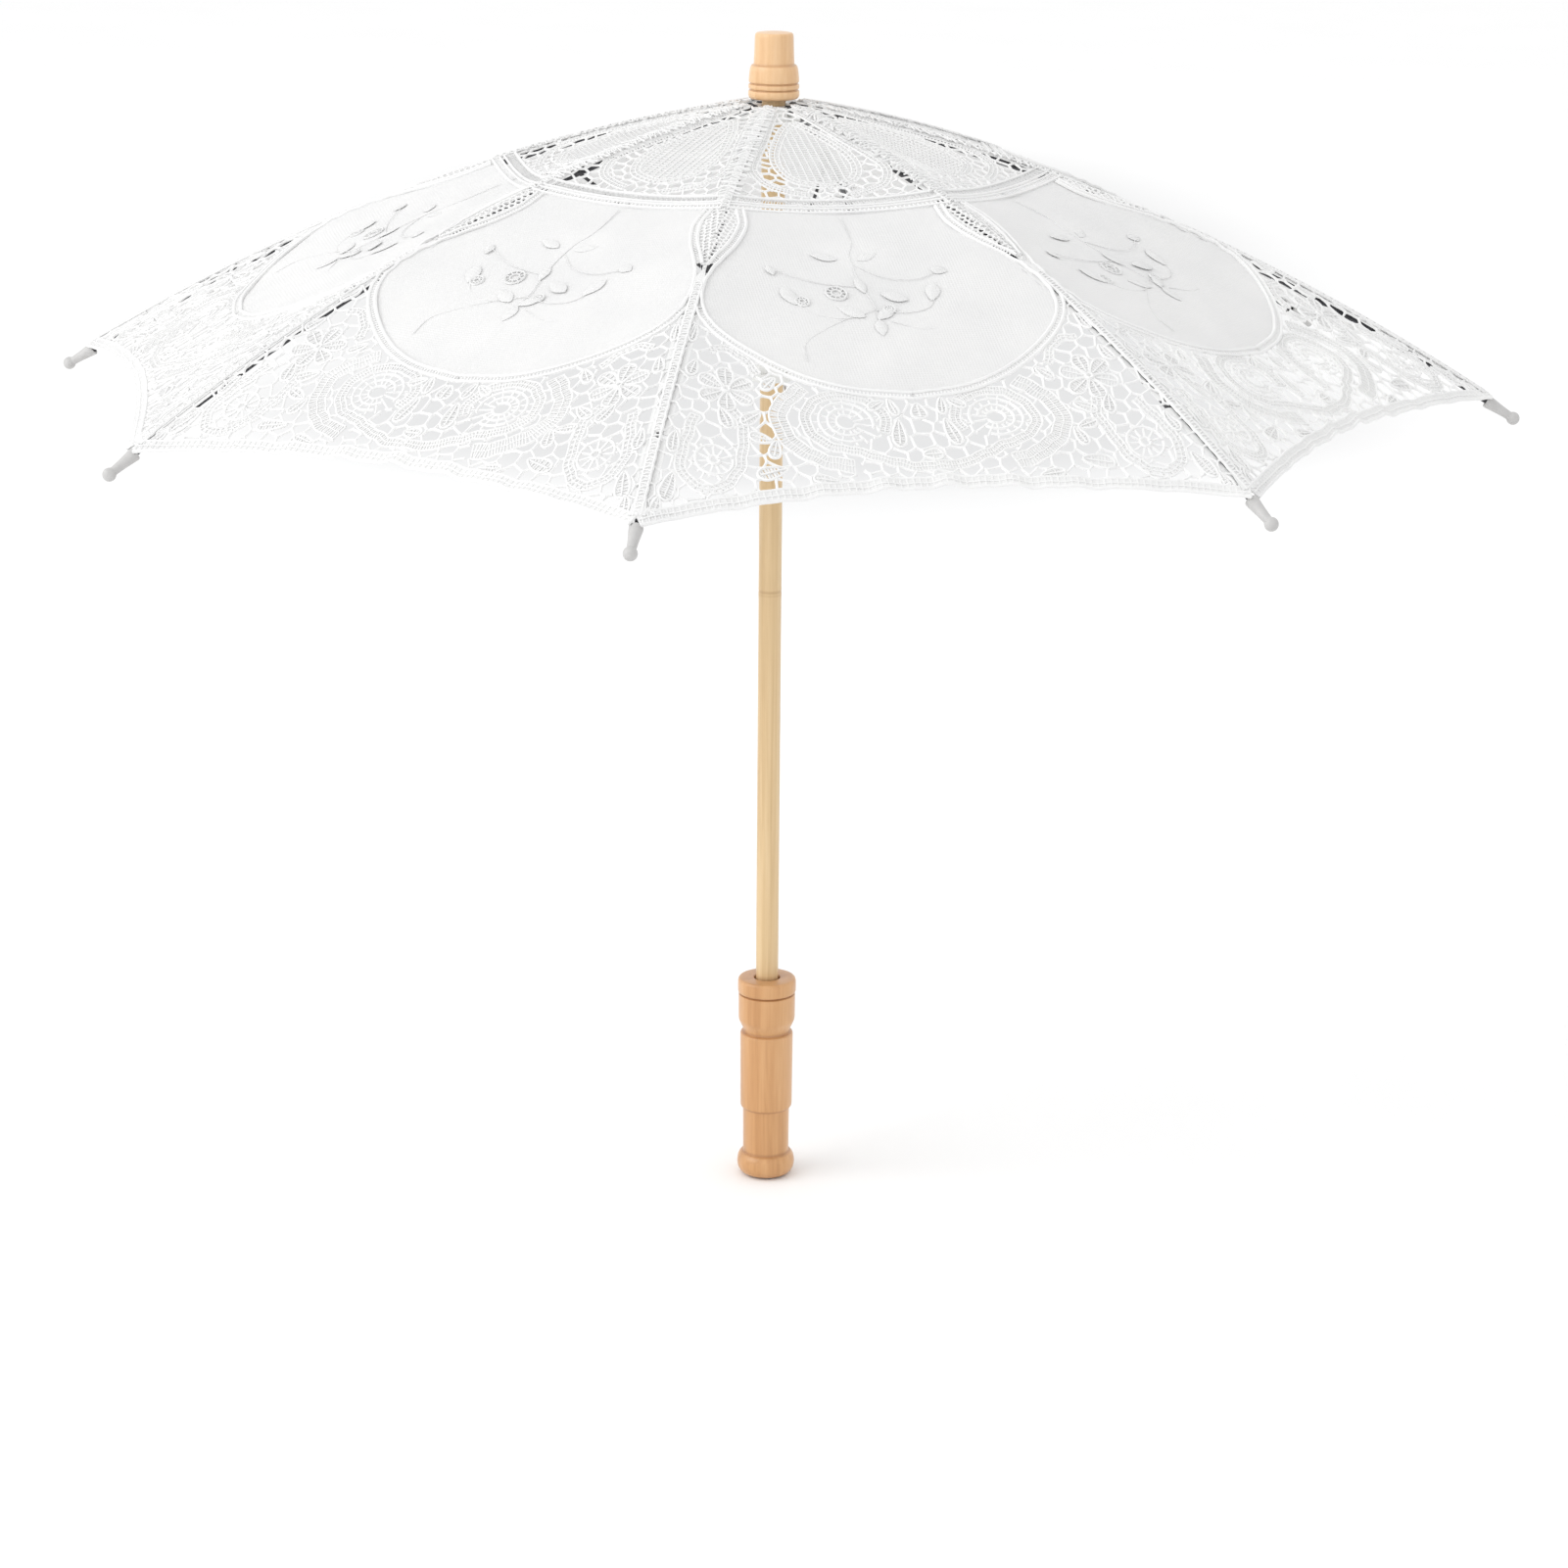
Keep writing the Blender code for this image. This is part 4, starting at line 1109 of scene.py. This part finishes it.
# pale ground, with painted shade: a soft greyer zone well behind the object, where the floor is seen through the lace
zones = []
for distance, across, along_it in ((3.50, 0.42, 0.93), (2.92, 0.425, 0.32)):
    zone = t.nodes.new("ShaderNodeMapping")
    zone.vector_type = "TEXTURE"
    zone.inputs["Location"].default_value = (0.22 - 0.1523 * distance, -1.376 + 0.9883 * distance, 0.0)
    zone.inputs["Rotation"].default_value = (0.0, 0.0, math.radians(8.76))
    zone.inputs["Scale"].default_value = (across, along_it, 1.0)
    link(t, t.nodes.new("ShaderNodeTexCoord").outputs["Object"], zone.inputs["Vector"])
    reach = t.nodes.new("ShaderNodeVectorMath")
    reach.operation = "LENGTH"
    link(t, zone.outputs["Vector"], reach.inputs[0])
    one = t.nodes.new("ShaderNodeMapRange")
    one.interpolation_type = "SMOOTHSTEP"
    link(t, reach.outputs["Value"], one.inputs["Value"])
    one.inputs["From Min"].default_value = 1.32
    one.inputs["From Max"].default_value = 0.62
    zones.append(one.outputs["Result"])
shade_amount = maths(t, "MAXIMUM", zones[0], zones[1])
mottle = texture(t, "ShaderNodeTexNoise", t.nodes.new("ShaderNodeTexCoord").outputs["Object"], Scale=6.0, Detail=3.0)
near = ramp(t, mottle.outputs["Fac"], [(0.3, (0.935, 0.935, 0.935)), (0.7, (0.945, 0.945, 0.945))])
# far is the grey of the painted shade zone
far = ramp(t, mottle.outputs["Fac"], [(0.3, (0.700, 0.702, 0.705)), (0.7, (0.710, 0.712, 0.715))])
blend = t.nodes.new("ShaderNodeMix")
blend.data_type = "RGBA"
link(t, shade_amount, blend.inputs[0])
link(t, near, blend.inputs[6])
link(t, far, blend.inputs[7])
link(t, blend.outputs[2], s.inputs["Base Color"])
s.inputs["Roughness"].default_value = 0.9
s.inputs["Specular IOR Level"].default_value = 0.1
# clear from below, so that the underside can be looked at
sheer = t.nodes.new("ShaderNodeMixShader")
link(t, t.nodes.new("ShaderNodeNewGeometry").outputs["Backfacing"], sheer.inputs["Fac"])
link(t, s.outputs["BSDF"], sheer.inputs[1])
link(t, t.nodes.new("ShaderNodeBsdfTransparent").outputs["BSDF"], sheer.inputs[2])
link(t, sheer.outputs["Shader"], t.nodes["Material Output"].inputs["Surface"])
floor_mesh.materials.append(m)
floor = add("floor", floor_mesh)

world = bpy.data.worlds.new("studio")
world.use_nodes = True
bg = world.node_tree.nodes["Background"]
bg.inputs["Color"].default_value = (1, 1, 1, 1)
bg.inputs["Strength"].default_value = 1.05
bpy.context.scene.world = world


def area(name, location, target, size, energy):
    light = bpy.data.lights.new(name, "AREA")
    light.shape = "SQUARE"
    light.size = size
    light.energy = energy
    o = bpy.data.objects.new(name, light)
    collection.objects.link(o)
    o.location = location
    o.rotation_euler = (Vector(target) - Vector(location)).to_track_quat("-Z", "Y").to_euler()
    return o


area("key", (-1.75, -1.05, 1.55), (0, 0, 0.3), 2.0, 26)
area("fill", (0.3, -1.8, 0.5), (0, 0, 0.25), 1.4, 0.6)

# ------------------------------------------------------------------ camera
camera = bpy.data.cameras.new("camera")
camera.sensor_width = 36
camera.lens = 89.79
camera.clip_start, camera.clip_end = 0.05, 60
eye = bpy.data.objects.new("camera", camera)
collection.objects.link(eye)
turn = Matrix(((0.987595, -0.057175, 0.146243), (0.156458, 0.279438, -0.94733), (0.013298, 0.95846, 0.284917)))
eye.matrix_world = Matrix.Translation((0.21993, -1.37581, 0.56846)) @ turn.to_4x4() @ Matrix.Rotation(-0.0046, 4, "Z")
camera.shift_x = -0.0029
bpy.context.scene.camera = eye
view = bpy.context.scene.view_settings
view.view_transform = "Standard"
view.look = "None"
view.exposure = 0.0
view.gamma = 1.0
